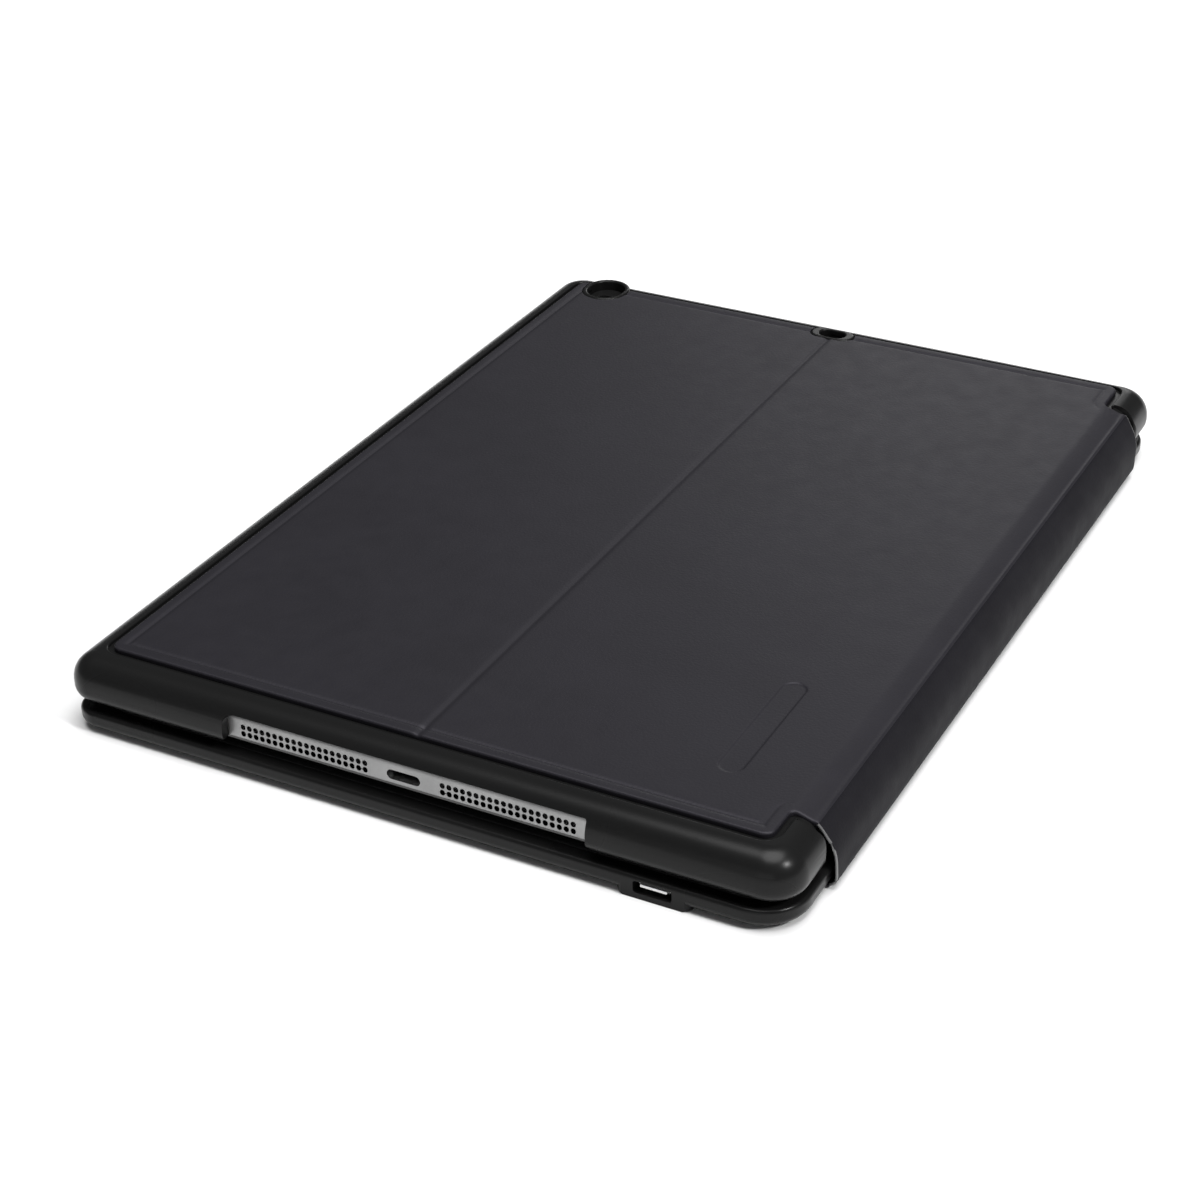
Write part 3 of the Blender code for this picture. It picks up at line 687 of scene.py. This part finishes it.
def build_spine():
    """The cover's narrow back, from the crease over the base's rear edge to the underside."""
    normals = profile_normals(SPINE_PROFILE)
    loops = []
    for station in spaced(-1.0, 1.0, 0.05):
        outer = [(station * spine_end(z), y, z) for y, z in SPINE_PROFILE]
        inner = []
        for (y, z), (across, up) in zip(SPINE_PROFILE, normals):
            thick = SPINE_THICKNESS if z > 0.001 else SPINE_UNDER_THICKNESS
            inner.append((station * spine_end(z), y + across * thick, z + up * thick))
        loops.append(outer + inner[::-1])
    skin = loft("spine", loops)
    # The spine wears the darker, duller copy of the cover laminate: painted shade.
    present(skin, "cover_spine", "spine", replaces=("spine_cover",), sharp=50)
    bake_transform(skin)
    # Beads of edge paint along the spine's ends; their light grey is partly a painted highlight.
    for side, end in (("left", -1), ("right", 1)):
        path = [(end * spine_end(z), y + across * SPINE_THICKNESS / 2, z + up * SPINE_THICKNESS / 2)
                for (y, z), (across, up) in zip(SPINE_PROFILE[:SPINE_BODY_COUNT], normals)]
        bead = tube("bead", path, SPINE_THICKNESS * 0.55)
        present(bead, "spine_edge_" + side, "edge", sharp=50)
        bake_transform(bead)


# ---- tray ----

def recess_cutter():
    """The pocket that the panel lies in, its rim rounded over."""
    levels = [(0.0, RECESS_FLOOR), (0.0, TRAY_HIGH.z - 0.00042)]
    for step in range(1, 5):
        turn = math.pi / 2 * step / 4
        levels.append((0.00042 * (1 - math.cos(turn)), TRAY_HIGH.z - 0.00042 * (1 - math.sin(turn))))
    levels.append((0.00042, TRAY_HIGH.z + 0.002))
    loops = []
    for out, z in levels:
        plan = panel_outline(-RECESS_GAP - out, [], [])
        loops.append([(x, y + (0.004 if y > CREASE_Y - 0.0002 else 0.0), z) for x, y in plan])
    return loft("cutter", loops)


def port_cutter():
    """The long opening in the short wall: one top corner round, both lower corners splayed."""
    left, right = FOLD_Y - 0.0444, FOLD_Y + 0.0444
    top, splay = 0.0153, 0.0018
    outline = [(left - splay, TRAY_LOW.z - 0.001), (right + splay * 1.3, TRAY_LOW.z - 0.001),
               (right + splay * 1.3, TRAY_LOW.z + 0.0002), (right, TRAY_LOW.z + 0.0022)]
    outline += arc((right - 0.0006, top - 0.0006), 0.0006, 0, 90, 5)
    outline += arc((left + 0.0028, top - 0.0028), 0.0028, 90, 180, 8)
    outline += [(left, TRAY_LOW.z + 0.0018), (left - splay, TRAY_LOW.z + 0.0002)]
    return sideways(outline, TABLET_HIGH.x - 0.002, TRAY_HIGH.x + 0.001)


def tray_block():
    """The tray's outer form: rounded corners in plan, and an upper edge that grows rounder at the spine."""
    plan = rounded_outline(TRAY_LOW, TRAY_HIGH, TRAY_CORNERS, 14)
    straight = []
    for index, (x, y) in enumerate(plan):
        after = plan[(index + 1) % len(plan)]
        straight.append((x, y))
        if abs(after[1] - y) > 0.05:
            straight += [(x, y + (after[1] - y) * share) for share in (0.25, 0.5, 0.75, 0.85, 0.93, 0.97)]
    loops = [[] for _ in range(2 * EDGE_RINGS + 2)]
    for index, point in enumerate(straight):
        before, after = Vector(straight[index - 1]), Vector(straight[(index + 1) % len(straight)])
        along = (after - before).normalized()
        inwards = Vector((-along.y, along.x))
        share = smooth_step((point[1] - ROUNDER_FROM) / ROUNDER_RUN)
        top = TRAY_TOP_RADIUS + (TRAY_SPINE_RADIUS - TRAY_TOP_RADIUS) * share
        for ring in range(EDGE_RINGS + 1):
            turn = math.pi / 2 * ring / EDGE_RINGS
            rise = 1 - math.sin(turn)
            for radius, z, place in (
                    (TRAY_BOTTOM_RADIUS, TRAY_LOW.z + TRAY_BOTTOM_RADIUS * rise, EDGE_RINGS - ring),
                    (top, TRAY_HIGH.z - top * rise, EDGE_RINGS + 1 + ring)):
                moved = Vector(point) + inwards * radius * (1 - math.cos(turn))
                loops[place].append((moved.x, moved.y, z))
    return loft("tray", loops)


def spine_relief():
    """What is taken off the tray's spine side between its corners, which are rounded towards it."""
    outer = TRAY_HIGH.y + 0.001
    loops = []
    for z, wall in ((TRAY_LOW.z - 0.001, TRAY_WALL[0][1]), *TRAY_WALL):
        edge = EAR_X + 0.0012 * smooth_step((z - 0.0135) / 0.0050)
        right = [(edge, wall)] + arc((edge + EAR_ROUND, TRAY_HIGH.y - EAR_ROUND), EAR_ROUND, 180, 90, 6)
        right.append((edge + EAR_ROUND, outer))
        loops.append(at_height(right + [(-x, y) for x, y in reversed(right)], z))
    return loft("cutter", loops)


def build_tray():
    shell = tray_block()
    nest_low = (TABLET_LOW.x - NEST_GAP, TABLET_LOW.y - NEST_GAP, LIP_TOP)
    nest_high = (TABLET_HIGH.x + NEST_GAP, TABLET_HIGH.y + NEST_GAP, TABLET_HIGH.z + 0.0002)
    nest = slab("nest", nest_low, nest_high, TABLET_CORNER, top=0.0018)
    mouth = slab("mouth", (TABLET_LOW.x + LIP, TABLET_LOW.y + LIP, TRAY_LOW.z - 0.001),
                 (TABLET_HIGH.x - LIP, TABLET_HIGH.y - LIP, LIP_TOP + 0.0005), TABLET_CORNER - LIP)
    sleep_y, volume_x, past = -0.0650, -0.0900, 0.001
    sleep = sideways(obround((sleep_y, BUTTON_Z), (0.0140, 0.0046)), TRAY_LOW.x - past, TABLET_LOW.x + past)
    volume = sideways(obround((volume_x, BUTTON_Z), (0.0280, 0.0046)), TRAY_LOW.y - past,
                      TABLET_LOW.y + past, 'Y')
    jack = sideways(obround((JACK_Y, BUTTON_Z), (0.0068, 0.0068)), TRAY_LOW.x - past, TABLET_LOW.x + past)
    carve(shell, spine_relief(), nest, mouth, recess_cutter(), port_cutter(), sleep, volume, jack,
          upright(obround(CAMERA, CAMERA_HOLE), 0.0130, 0.0190),
          upright(obround(MICROPHONE, MICROPHONE_HOLE), 0.0130, 0.0190))
    present(shell, "tray", "plastic", "tray", ("tray_shell",))
    for name, place, hole, size in (("camera_bezel", CAMERA, CAMERA_HOLE, CAMERA_BEZEL),
                                    ("microphone_bezel", MICROPHONE, MICROPHONE_HOLE, MICROPHONE_BEZEL)):
        build_bezel(name, place, hole, size)


def build_gaskets():
    """Dark liners at the bottom of the camera's and the microphone's holes."""
    low = TABLET_HIGH.z + 0.00005
    lens = (centre("camera_lens").x, CAMERA[1])
    for name, place, hole, middle, width in (
            ("camera_gasket", CAMERA, CAMERA_HOLE, lens, 0.0068),
            ("microphone_gasket", MICROPHONE, MICROPHONE_HOLE, MICROPHONE, 0.0010)):
        reach = (hole[0] / 2 - 0.0001, hole[1] / 2 - 0.0001)
        first, last = around(place, *reach)
        plate = slab(name, (*first, low), (*last, low + 0.0006), min(reach) * 0.99, top=0.0002,
                     edge_steps=3, corner_steps=10)
        carve(plate, upright(obround(middle, (width, width)), low - 0.001, low + 0.002))
        present(plate, name, "plastic", "tray")


def build_bezel(name, place, hole, size):
    """A raised ring of the tray's plastic that frames a hole through the cover."""
    slim = 0.0002
    low = (place[0] - size[0] / 2 + slim, place[1] - size[1] / 2 + slim, RECESS_FLOOR - 0.0003)
    high = (place[0] + size[0] / 2 - slim, place[1] + size[1] / 2 - slim, PANEL_TOP + 0.00015)
    ring = slab(name, low, high, min(size) / 2 - slim * 1.2, top=0.0006, edge_steps=5, corner_steps=12)
    carve(ring, upright(obround(place, hole, 12), 0.0160, high[2], flare=0.0005))
    present(ring, name, "plastic", "tray")


# ---- tablet ----

def build_tablet():
    body = slab("tablet", TABLET_LOW, TABLET_HIGH, TABLET_CORNER, top=0.0022, bottom=0.0003,
                corner_steps=10)
    connector = sideways(obround((FOLD_Y, CONNECTOR_Z), (0.0082, 0.0024)), 0.1140, TABLET_HIGH.x + 0.001)
    holes = []
    for side in (-1, 1):
        for index in range(GRILLE_HOLES):
            y = FOLD_Y + side * (GRILLE[0] + (GRILLE[1] - GRILLE[0]) * index / (GRILLE_HOLES - 1))
            for row in (-1, 1):
                place = (y, CONNECTOR_Z + row * 0.00085)
                holes.append(sideways(obround(place, (0.00124, 0.00142), 3), 0.1180, TABLET_HIGH.x + 0.001))
    lens = upright(obround((centre("camera_lens").x, CAMERA[1]), (0.0074, 0.0074)), 0.0135, 0.0160)
    home_place = (centre("home_button").x, FOLD_Y)
    home = upright(obround(home_place, (0.0136, 0.0136)), 0.0070, 0.0105)
    pockets = []
    grow = 0.0004
    for node in ("sleep_button", "volume_rocker"):
        low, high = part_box(node)
        plan = rounded_outline((low.x - grow - 0.001, low.y - grow - 0.001), (high.x + grow, high.y + grow),
                               0.0003, 2)
        pockets.append(loft("cutter", [at_height(plan, z) for z in (low.z - grow, high.z + grow)]))
    jack = sideways(obround((JACK_Y, BUTTON_Z), (0.0036, 0.0036)), TABLET_LOW.x - 0.001,
                    TABLET_LOW.x + 0.012)
    carve(body, connector, joined("holes", holes), lens, home, *pockets, jack)
    present(body, "tablet_body", "metal", "tray", ("tablet_housing",))

    glass = slab("glass", GLASS_LOW, GLASS_HIGH, TABLET_CORNER - 0.0004, bottom=0.0005)
    carve(glass, upright(obround(home_place, (0.0132, 0.0132)), 0.0070, 0.0100))
    present(glass, "screen_glass", "glass", "tray", ("tablet_glass",))

    low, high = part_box("home_button")
    button = slab("home", low, high, (high.x - low.x) / 2 * 0.999, bottom=0.0003, corner_steps=12)
    present(button, "home_key", "glass", "home_button", ("home_button",))
    for node, name in (("sleep_button", "sleep_key"), ("volume_rocker", "volume_key")):
        low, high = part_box(node)
        key = slab(name, low, high, 0.0003, top=0.00025, bottom=0.00025)
        soften(key, 0.00015)
        present(key, name, "metal", node, (node,))


# ---- keyboard base ----

def pocket(low, high, radius, bottom, top, flare=0.0, steps=3):
    """An upright cutter with a rounded plan, whose mouth is eased outwards by the flare."""
    loops = []
    for out, z in ((0, bottom), (0, top - flare), (flare * 0.3, top - flare * 0.3), (flare, top),
                   (flare, top + 0.002)):
        loops.append(at_height(rounded_outline(*grown(low, high, out), radius + out, steps), z))
    return loft("cutter", loops)


def build_base():
    underside = BASE_LOW + Vector((0, 0, 0.0004))
    shell = slab("base", underside, BASE_HIGH, BASE_CORNERS, top=0.0010, bottom=BASE_BOTTOM_RADIUS,
                 edge_steps=8, corner_steps=14)
    hollow = slab("hollow", (DECK_LOW.x - 0.0003, DECK_LOW.y - 0.0003, 0.0019),
                  (DECK_HIGH.x + 0.0003, DECK_HIGH.y + 0.0003, BASE_HIGH.z + 0.002), 0.0100)
    carve(shell, usb_boss(), operation='UNION')
    mouth = sideways(rounded_outline(*around((USB_Y, USB_Z), 0.0044, 0.00145), 0.0006, 4),
                     SOCKET_LOW.x - 0.001, BASE_HIGH.x + 0.001)
    switch = sideways(obround((USB_Y, 0.0034), (0.0080, 0.0022)), BASE_LOW.x - 0.001, -0.1180)
    carve(shell, hollow, mouth, switch)
    present(shell, "base_shell", "plastic", "base", ("base_bottom_shell",))

    skin = slab("bottom", SKIN_LOW, SKIN_HIGH, 0.0100, bottom=0.0002, edge_steps=4)
    present(skin, "bottom_skin", "laminate", "base", ("bottom_cover",))


def usb_boss():
    """The charging port's squared housing, with splayed flanks."""
    loops = []
    low = BASE_LOW.z - 0.0005
    for x, half in ((0.1170, 0.0090), (BASE_HIGH.x - 0.0014, 0.0086), (BASE_HIGH.x - 0.0004, 0.0078),
                    (BASE_HIGH.x, 0.0072)):
        plan = rounded_outline((USB_Y - half, low), (USB_Y + half, 0.0044), 0.0006, 4)
        loops.append([(x, y, z) for y, z in plan])
    return loft("cutter", loops)


def build_socket():
    """The charging port: a bent sheet-metal mouth, set back in its opening, with its tongue."""
    half_width, half_height, slant = 0.0037, 0.00092, 0.0006
    outline = [(-half_width + slant, -half_height), (half_width - slant, -half_height), (half_width, 0.0),
               (half_width, half_height), (-half_width, half_height), (-half_width, 0.0)]
    loops = []
    for x, shrink in ((SOCKET_LOW.x, 0.0), (0.1206, 0.0), (0.1208, 0.00006), (0.1208, 0.00030),
                      (0.1200, 0.00034), (0.1160, 0.00034)):
        ring = []
        for y, z in outline:
            ring.append((x, USB_Y + y * (1 - shrink / half_width), USB_Z + z * (1 - shrink / half_height)))
        loops.append(ring)
    shell = loft("socket", loops)
    tongue = slab("tongue", (0.1165, USB_Y - 0.0031, USB_Z - 0.00010),
                  (SOCKET_HIGH.x, USB_Y + 0.0031, USB_Z + 0.00050), 0.0002)
    present(shell, "usb_socket", "steel", "base", ("micro_usb_port",), sharp=25)
    present(tongue, "usb_tongue", "nickel", "base")


def key_boxes(node):
    """The boxes of the single keys in one of the CAD's key rows, from left to right."""
    bm = bmesh.new()
    bm.from_mesh(frame["nodes"][node].data)
    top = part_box(node)[1].z - 0.00001
    crowns = [face for face in bm.faces if min(vert.co.z for vert in face.verts) > top]
    seen, boxes = set(), {}
    for face in crowns:
        if face.index in seen:
            continue
        island, queue = [], [face]
        seen.add(face.index)
        while queue:
            current = queue.pop()
            island += [vert.co for vert in current.verts]
            for vert in current.verts:
                for other in vert.link_faces:
                    if other.index not in seen and min(v.co.z for v in other.verts) > top:
                        seen.add(other.index)
                        queue.append(other)
        xs, ys = [point.x for point in island], [point.y for point in island]
        box = (min(xs) - CAP_CHAMFER, min(ys) - CAP_CHAMFER, max(xs) + CAP_CHAMFER, max(ys) + CAP_CHAMFER)
        boxes[tuple(round(side, 4) for side in box)] = box
    bm.free()
    return sorted(boxes.values())


def key_cap(box, bottom, top):
    """One keycap: eased corners, slightly drawn-in sides, and a shallow dish."""
    left, front, right, back = box
    radius, dish = 0.0014, 0.00016
    levels = [(0.0, bottom), (0.0, bottom + 0.0010), (0.00006, top - 0.0005), (0.00012, top - 0.00022),
              (0.00024, top - 0.00008), (0.00042, top), (0.0011, top - dish * 0.45),
              (0.0022, top - dish * 0.8), (0.0032, top - dish)]
    widest = min(right - left, back - front) / 2 - 0.0002
    loops = []
    for inset, z in levels:
        inset = min(inset, widest)
        rounding = max(radius - inset * 0.6, 0.0002)
        loops.append(at_height(rounded_outline(*grown((left, front), (right, back), -inset), rounding, 5), z))
    return loft("cap", loops)


KEY_ROWS = {
    "function_key_row": "",
    "number_key_row": "`1234567890-=",
    "upper_letter_key_row": " QWERTYUIOP[]",
    "home_key_row": " ASDFGHJKL; ",
    "lower_letter_key_row": " ZXCVBNM,. ",
    "bottom_left_keys": "",
    "space_bar": "",
    "bottom_right_keys": "",
}


def legend(text, place, size):
    """A flat printed character, centred on a point."""
    curve = bpy.data.curves.new("legend", 'FONT')
    curve.body = text
    curve.size = size
    curve.align_x = curve.align_y = 'CENTER'
    curve.extrude = 0.00001
    curve.resolution_u = 3
    made = linked("legend", curve)
    graph = bpy.context.evaluated_depsgraph_get()
    mesh = bpy.data.meshes.new_from_object(made.evaluated_get(graph))
    bpy.data.objects.remove(made, do_unlink=True)
    mesh.transform(Matrix.Translation(place))
    return linked("legend", mesh)


def build_keys():
    """Keycaps row by row, as they travel; returns every key's box for the deck's openings."""
    every = []
    for node, letters in KEY_ROWS.items():
        boxes = key_boxes(node)
        every += boxes
        low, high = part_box(node)
        caps = joined(node, [key_cap(box, low.z + 0.0003, high.z) for box in boxes])
        present(caps, node.replace("_row", "_caps"), "keycap", node, (node,), sharp=60)
        marks = []
        for box, letter in zip(boxes, letters):
            if letter.strip():
                middle = ((box[0] + box[2]) / 2, (box[1] + box[3]) / 2, high.z - 0.00014)
                marks.append(legend(letter, Vector(middle), 0.0046))
        if marks:
            present(joined("marks", marks), node.replace("_row", "_legends"), "legend", node)
    return every


def build_deck(keys):
    deck = slab("deck", DECK_LOW, (DECK_HIGH.x, DECK_HIGH.y, DECK_TOP), 0.0097, top=0.0003, edge_steps=3)
    ridge = slab("ridge", (-0.1100, 0.0464, DECK_TOP - 0.0006), (0.1100, 0.0480, DECK_TOP + 0.0008), 0.0008,
                 top=0.0006, edge_steps=5)
    openings = []
    below = DECK_LOW.z - 0.001
    for left, front, right, back in keys:
        low, high = grown((left, front), (right, back), KEY_CLEAR)
        openings.append(pocket(low, high, 0.0015, below, DECK_TOP, flare=0.00025))
    low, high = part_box("docking_strip")
    groove = pocket(*grown(low, high, 0.0003), 0.0008, DECK_TOP - 0.0007, DECK_TOP, flare=0.0003)
    carve(deck, ridge, operation='UNION')
    button, light = centre("pairing_button"), centre("status_light")
    holes = [pocket(*around(button, 0.0024, 0.0024), 0.00239, below, DECK_TOP, flare=0.0002, steps=8),
             pocket(*around(light, 0.0009, 0.0009), 0.00089, below, DECK_TOP, flare=0.0001, steps=6)]
    carve(deck, joined("openings", openings), groove, *holes)
    present(deck, "keyboard_top", "deck", "base", ("keyboard_deck",))


def build_strip():
    """The magnetic strip that holds the tray's edge: a soft bar with two ribs along it."""
    low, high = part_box("docking_strip")
    bar = slab("strip", low, (high.x, high.y, high.z - 0.0004), 0.0007, top=0.0003, edge_steps=4)
    half = 0.0007
    ribs = [slab("rib", (low.x + 0.0015, y - half, high.z - 0.0006), (high.x - 0.0015, y + half, high.z),
                 half, top=0.00035, edge_steps=4) for y in (low.y + 0.0022, high.y - 0.0022)]
    carve(bar, *ribs, operation='UNION')
    present(bar, "docking_bar", "rubber", "base", ("docking_strip",))


def build_pads():
    """The four feet and the two bumpers on the deck's front edge, with domed faces."""
    for node in ("front_left_foot", "front_right_foot", "rear_left_foot", "rear_right_foot"):
        low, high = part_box(node)
        foot = slab("foot", low, high, (high.x - low.x) / 2 * 0.999, bottom=0.00036, edge_steps=5,
                    corner_steps=10)
        present(foot, node + "_pad", "rubber", "base", (node,))
    for side in ("left", "right"):
        node = "deck_bumper_" + side
        low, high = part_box(node)
        bump = slab("bump", low, high, (high.x - low.x) / 2 * 0.999, top=0.0009)
        present(bump, "bumper_" + side, "rubber", "base", (node,))


def build_switches():
    low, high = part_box("power_switch")
    slider = slab("slider", low, high, 0.0004, top=0.0003, bottom=0.0003, edge_steps=3)
    grooves = []
    for index in range(5):
        y = (low.y + high.y) / 2 + (index - 2) * 0.00065
        plan = rounded_outline((low.x - 0.001, y - 0.00016), (low.x + 0.00022, y + 0.00016), 0.0001, 2)
        grooves.append(loft("cutter", [at_height(plan, 0), at_height(plan, 1)]))
    carve(slider, *grooves)
    present(slider, "power_slider", "switch", "power_switch", ("power_switch",))
    low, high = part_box("pairing_button")
    radius = (high.x - low.x) / 2 * 0.999
    levels = [(0.0, low.z), (0.0, high.z - 0.0003), (0.00009, high.z - 0.00009), (0.0003, high.z),
              (0.0008, high.z - 0.00010), (0.0014, high.z - 0.00016)]
    loops = [at_height(rounded_outline(*grown(low, high, -inset), radius - inset), z) for inset, z in levels]
    present(loft("button", loops), "pairing_key", "switch", "pairing_button", ("pairing_button",))


def build_camera_glass():
    """The tablet's camera: a metal ring round a slightly domed lens."""
    low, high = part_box("camera_lens")
    place = centre("camera_lens").xy
    outer = (high.x - low.x) / 2
    loops = []
    for radius, z in ((outer, low.z), (outer, high.z - 0.0002), (outer - 0.0002, high.z),
                      (outer - 0.0006, high.z), (outer - 0.0008, high.z - 0.0003),
                      (outer - 0.0009, low.z + 0.0002)):
        loops.append(at_height(circle(place, radius), z))
    present(loft("ring", loops), "lens_ring", "metal", "tray", sharp=25)
    loops = []
    reach = outer - 0.00085
    for share in (1.0, 0.97, 0.85, 0.65, 0.40, 0.15):
        rise = 0.00022 * (1 - share * share)
        loops.append(at_height(circle(place, reach * share), high.z - 0.00035 + rise))
    loops.insert(0, at_height(circle(place, reach), low.z + 0.0004))
    present(loft("lens", loops), "lens_glass", "glass", "tray", ("camera_lens",))


CARRIED = {
    "key_membrane": "membrane", "circuit_board": "circuit", "battery": "foil", "status_light": "light",
    "docking_magnet_left": "steel", "docking_magnet_right": "steel", "tray_edge_bar": "steel",
    "tablet_connector": "steel", "prop_board": "board", "spine_board": "board",
}


def finish_carried():
    """The CAD nodes whose shape is right as it is get their finish."""
    for node, finish in CARRIED.items():
        data = frame["nodes"][node].data
        data.materials.clear()
        data.materials.append(FINISHES[finish])


# ---- stage, light and camera ----

def build_stage():
    floor = bpy.data.meshes.new("floor")
    sides = ((-1, -1), (1, -1), (1, 1), (-1, 1))
    floor.from_pydata([(FLOOR_REACH * x, FLOOR_REACH * y, 0) for x, y in sides], [], [(0, 1, 2, 3)])
    floor.materials.append(Finish("white_paper", grey(0.88), 0.9).rough(0.05, 0.88, 0.95).material)
    linked("floor", floor)


def area_light(name, place, target, size, power):
    data = bpy.data.lights.new(name, 'AREA')
    data.shape = 'RECTANGLE'
    data.size, data.size_y = size
    data.energy = power
    lamp = linked(name, data)
    lamp.location = place
    lamp.rotation_euler = (Vector(target) - Vector(place)).to_track_quat('-Z', 'Y').to_euler()


def build_light():
    """Soft lamps, and a weak world that the camera sees as plain white."""
    world = bpy.data.worlds.new("studio")
    world.use_nodes = True
    nodes, links = world.node_tree.nodes, world.node_tree.links
    nodes["Background"].inputs["Color"].default_value = (0.97, 0.98, 1.0, 1.0)
    nodes["Background"].inputs["Strength"].default_value = WORLD_STRENGTH
    seen = nodes.new("ShaderNodeBackground")
    seen.inputs["Color"].default_value = (1.0, 1.0, 1.0, 1.0)
    mix, path = nodes.new("ShaderNodeMixShader"), nodes.new("ShaderNodeLightPath")
    links.new(path.outputs["Is Camera Ray"], mix.inputs["Fac"])
    links.new(nodes["Background"].outputs["Background"], mix.inputs[1])
    links.new(seen.outputs["Background"], mix.inputs[2])
    links.new(mix.outputs["Shader"], nodes["World Output"].inputs["Surface"])
    bpy.context.scene.world = world
    sun = bpy.data.lights.new("overhead", 'SUN')
    sun.energy = SUN_POWER
    sun.angle = math.radians(SUN_ANGLE)
    linked("overhead", sun).rotation_euler = (math.radians(SUN_LEAN), 0, 0)
    for lamp in LAMPS:
        area_light(*lamp)
    bpy.context.scene.view_settings.view_transform = 'Standard'


def build_camera():
    data = bpy.data.cameras.new("camera")
    data.lens = VIEW_LENS
    data.sensor_width = 36.0
    data.clip_start = 0.01
    camera = linked("camera", data)
    turn = Matrix()
    for axis, degrees in VIEW_TURNS:
        turn = turn @ Matrix.Rotation(math.radians(degrees), 4, axis)
    camera.matrix_world = Matrix.Translation(VIEW_PLACE) @ turn
    bpy.context.scene.camera = camera


build_panel()
build_spine()
build_tray()
build_gaskets()
build_tablet()
build_camera_glass()
build_base()
build_socket()
build_deck(build_keys())
build_strip()
build_pads()
build_switches()
finish_carried()
build_stage()
build_light()
build_camera()
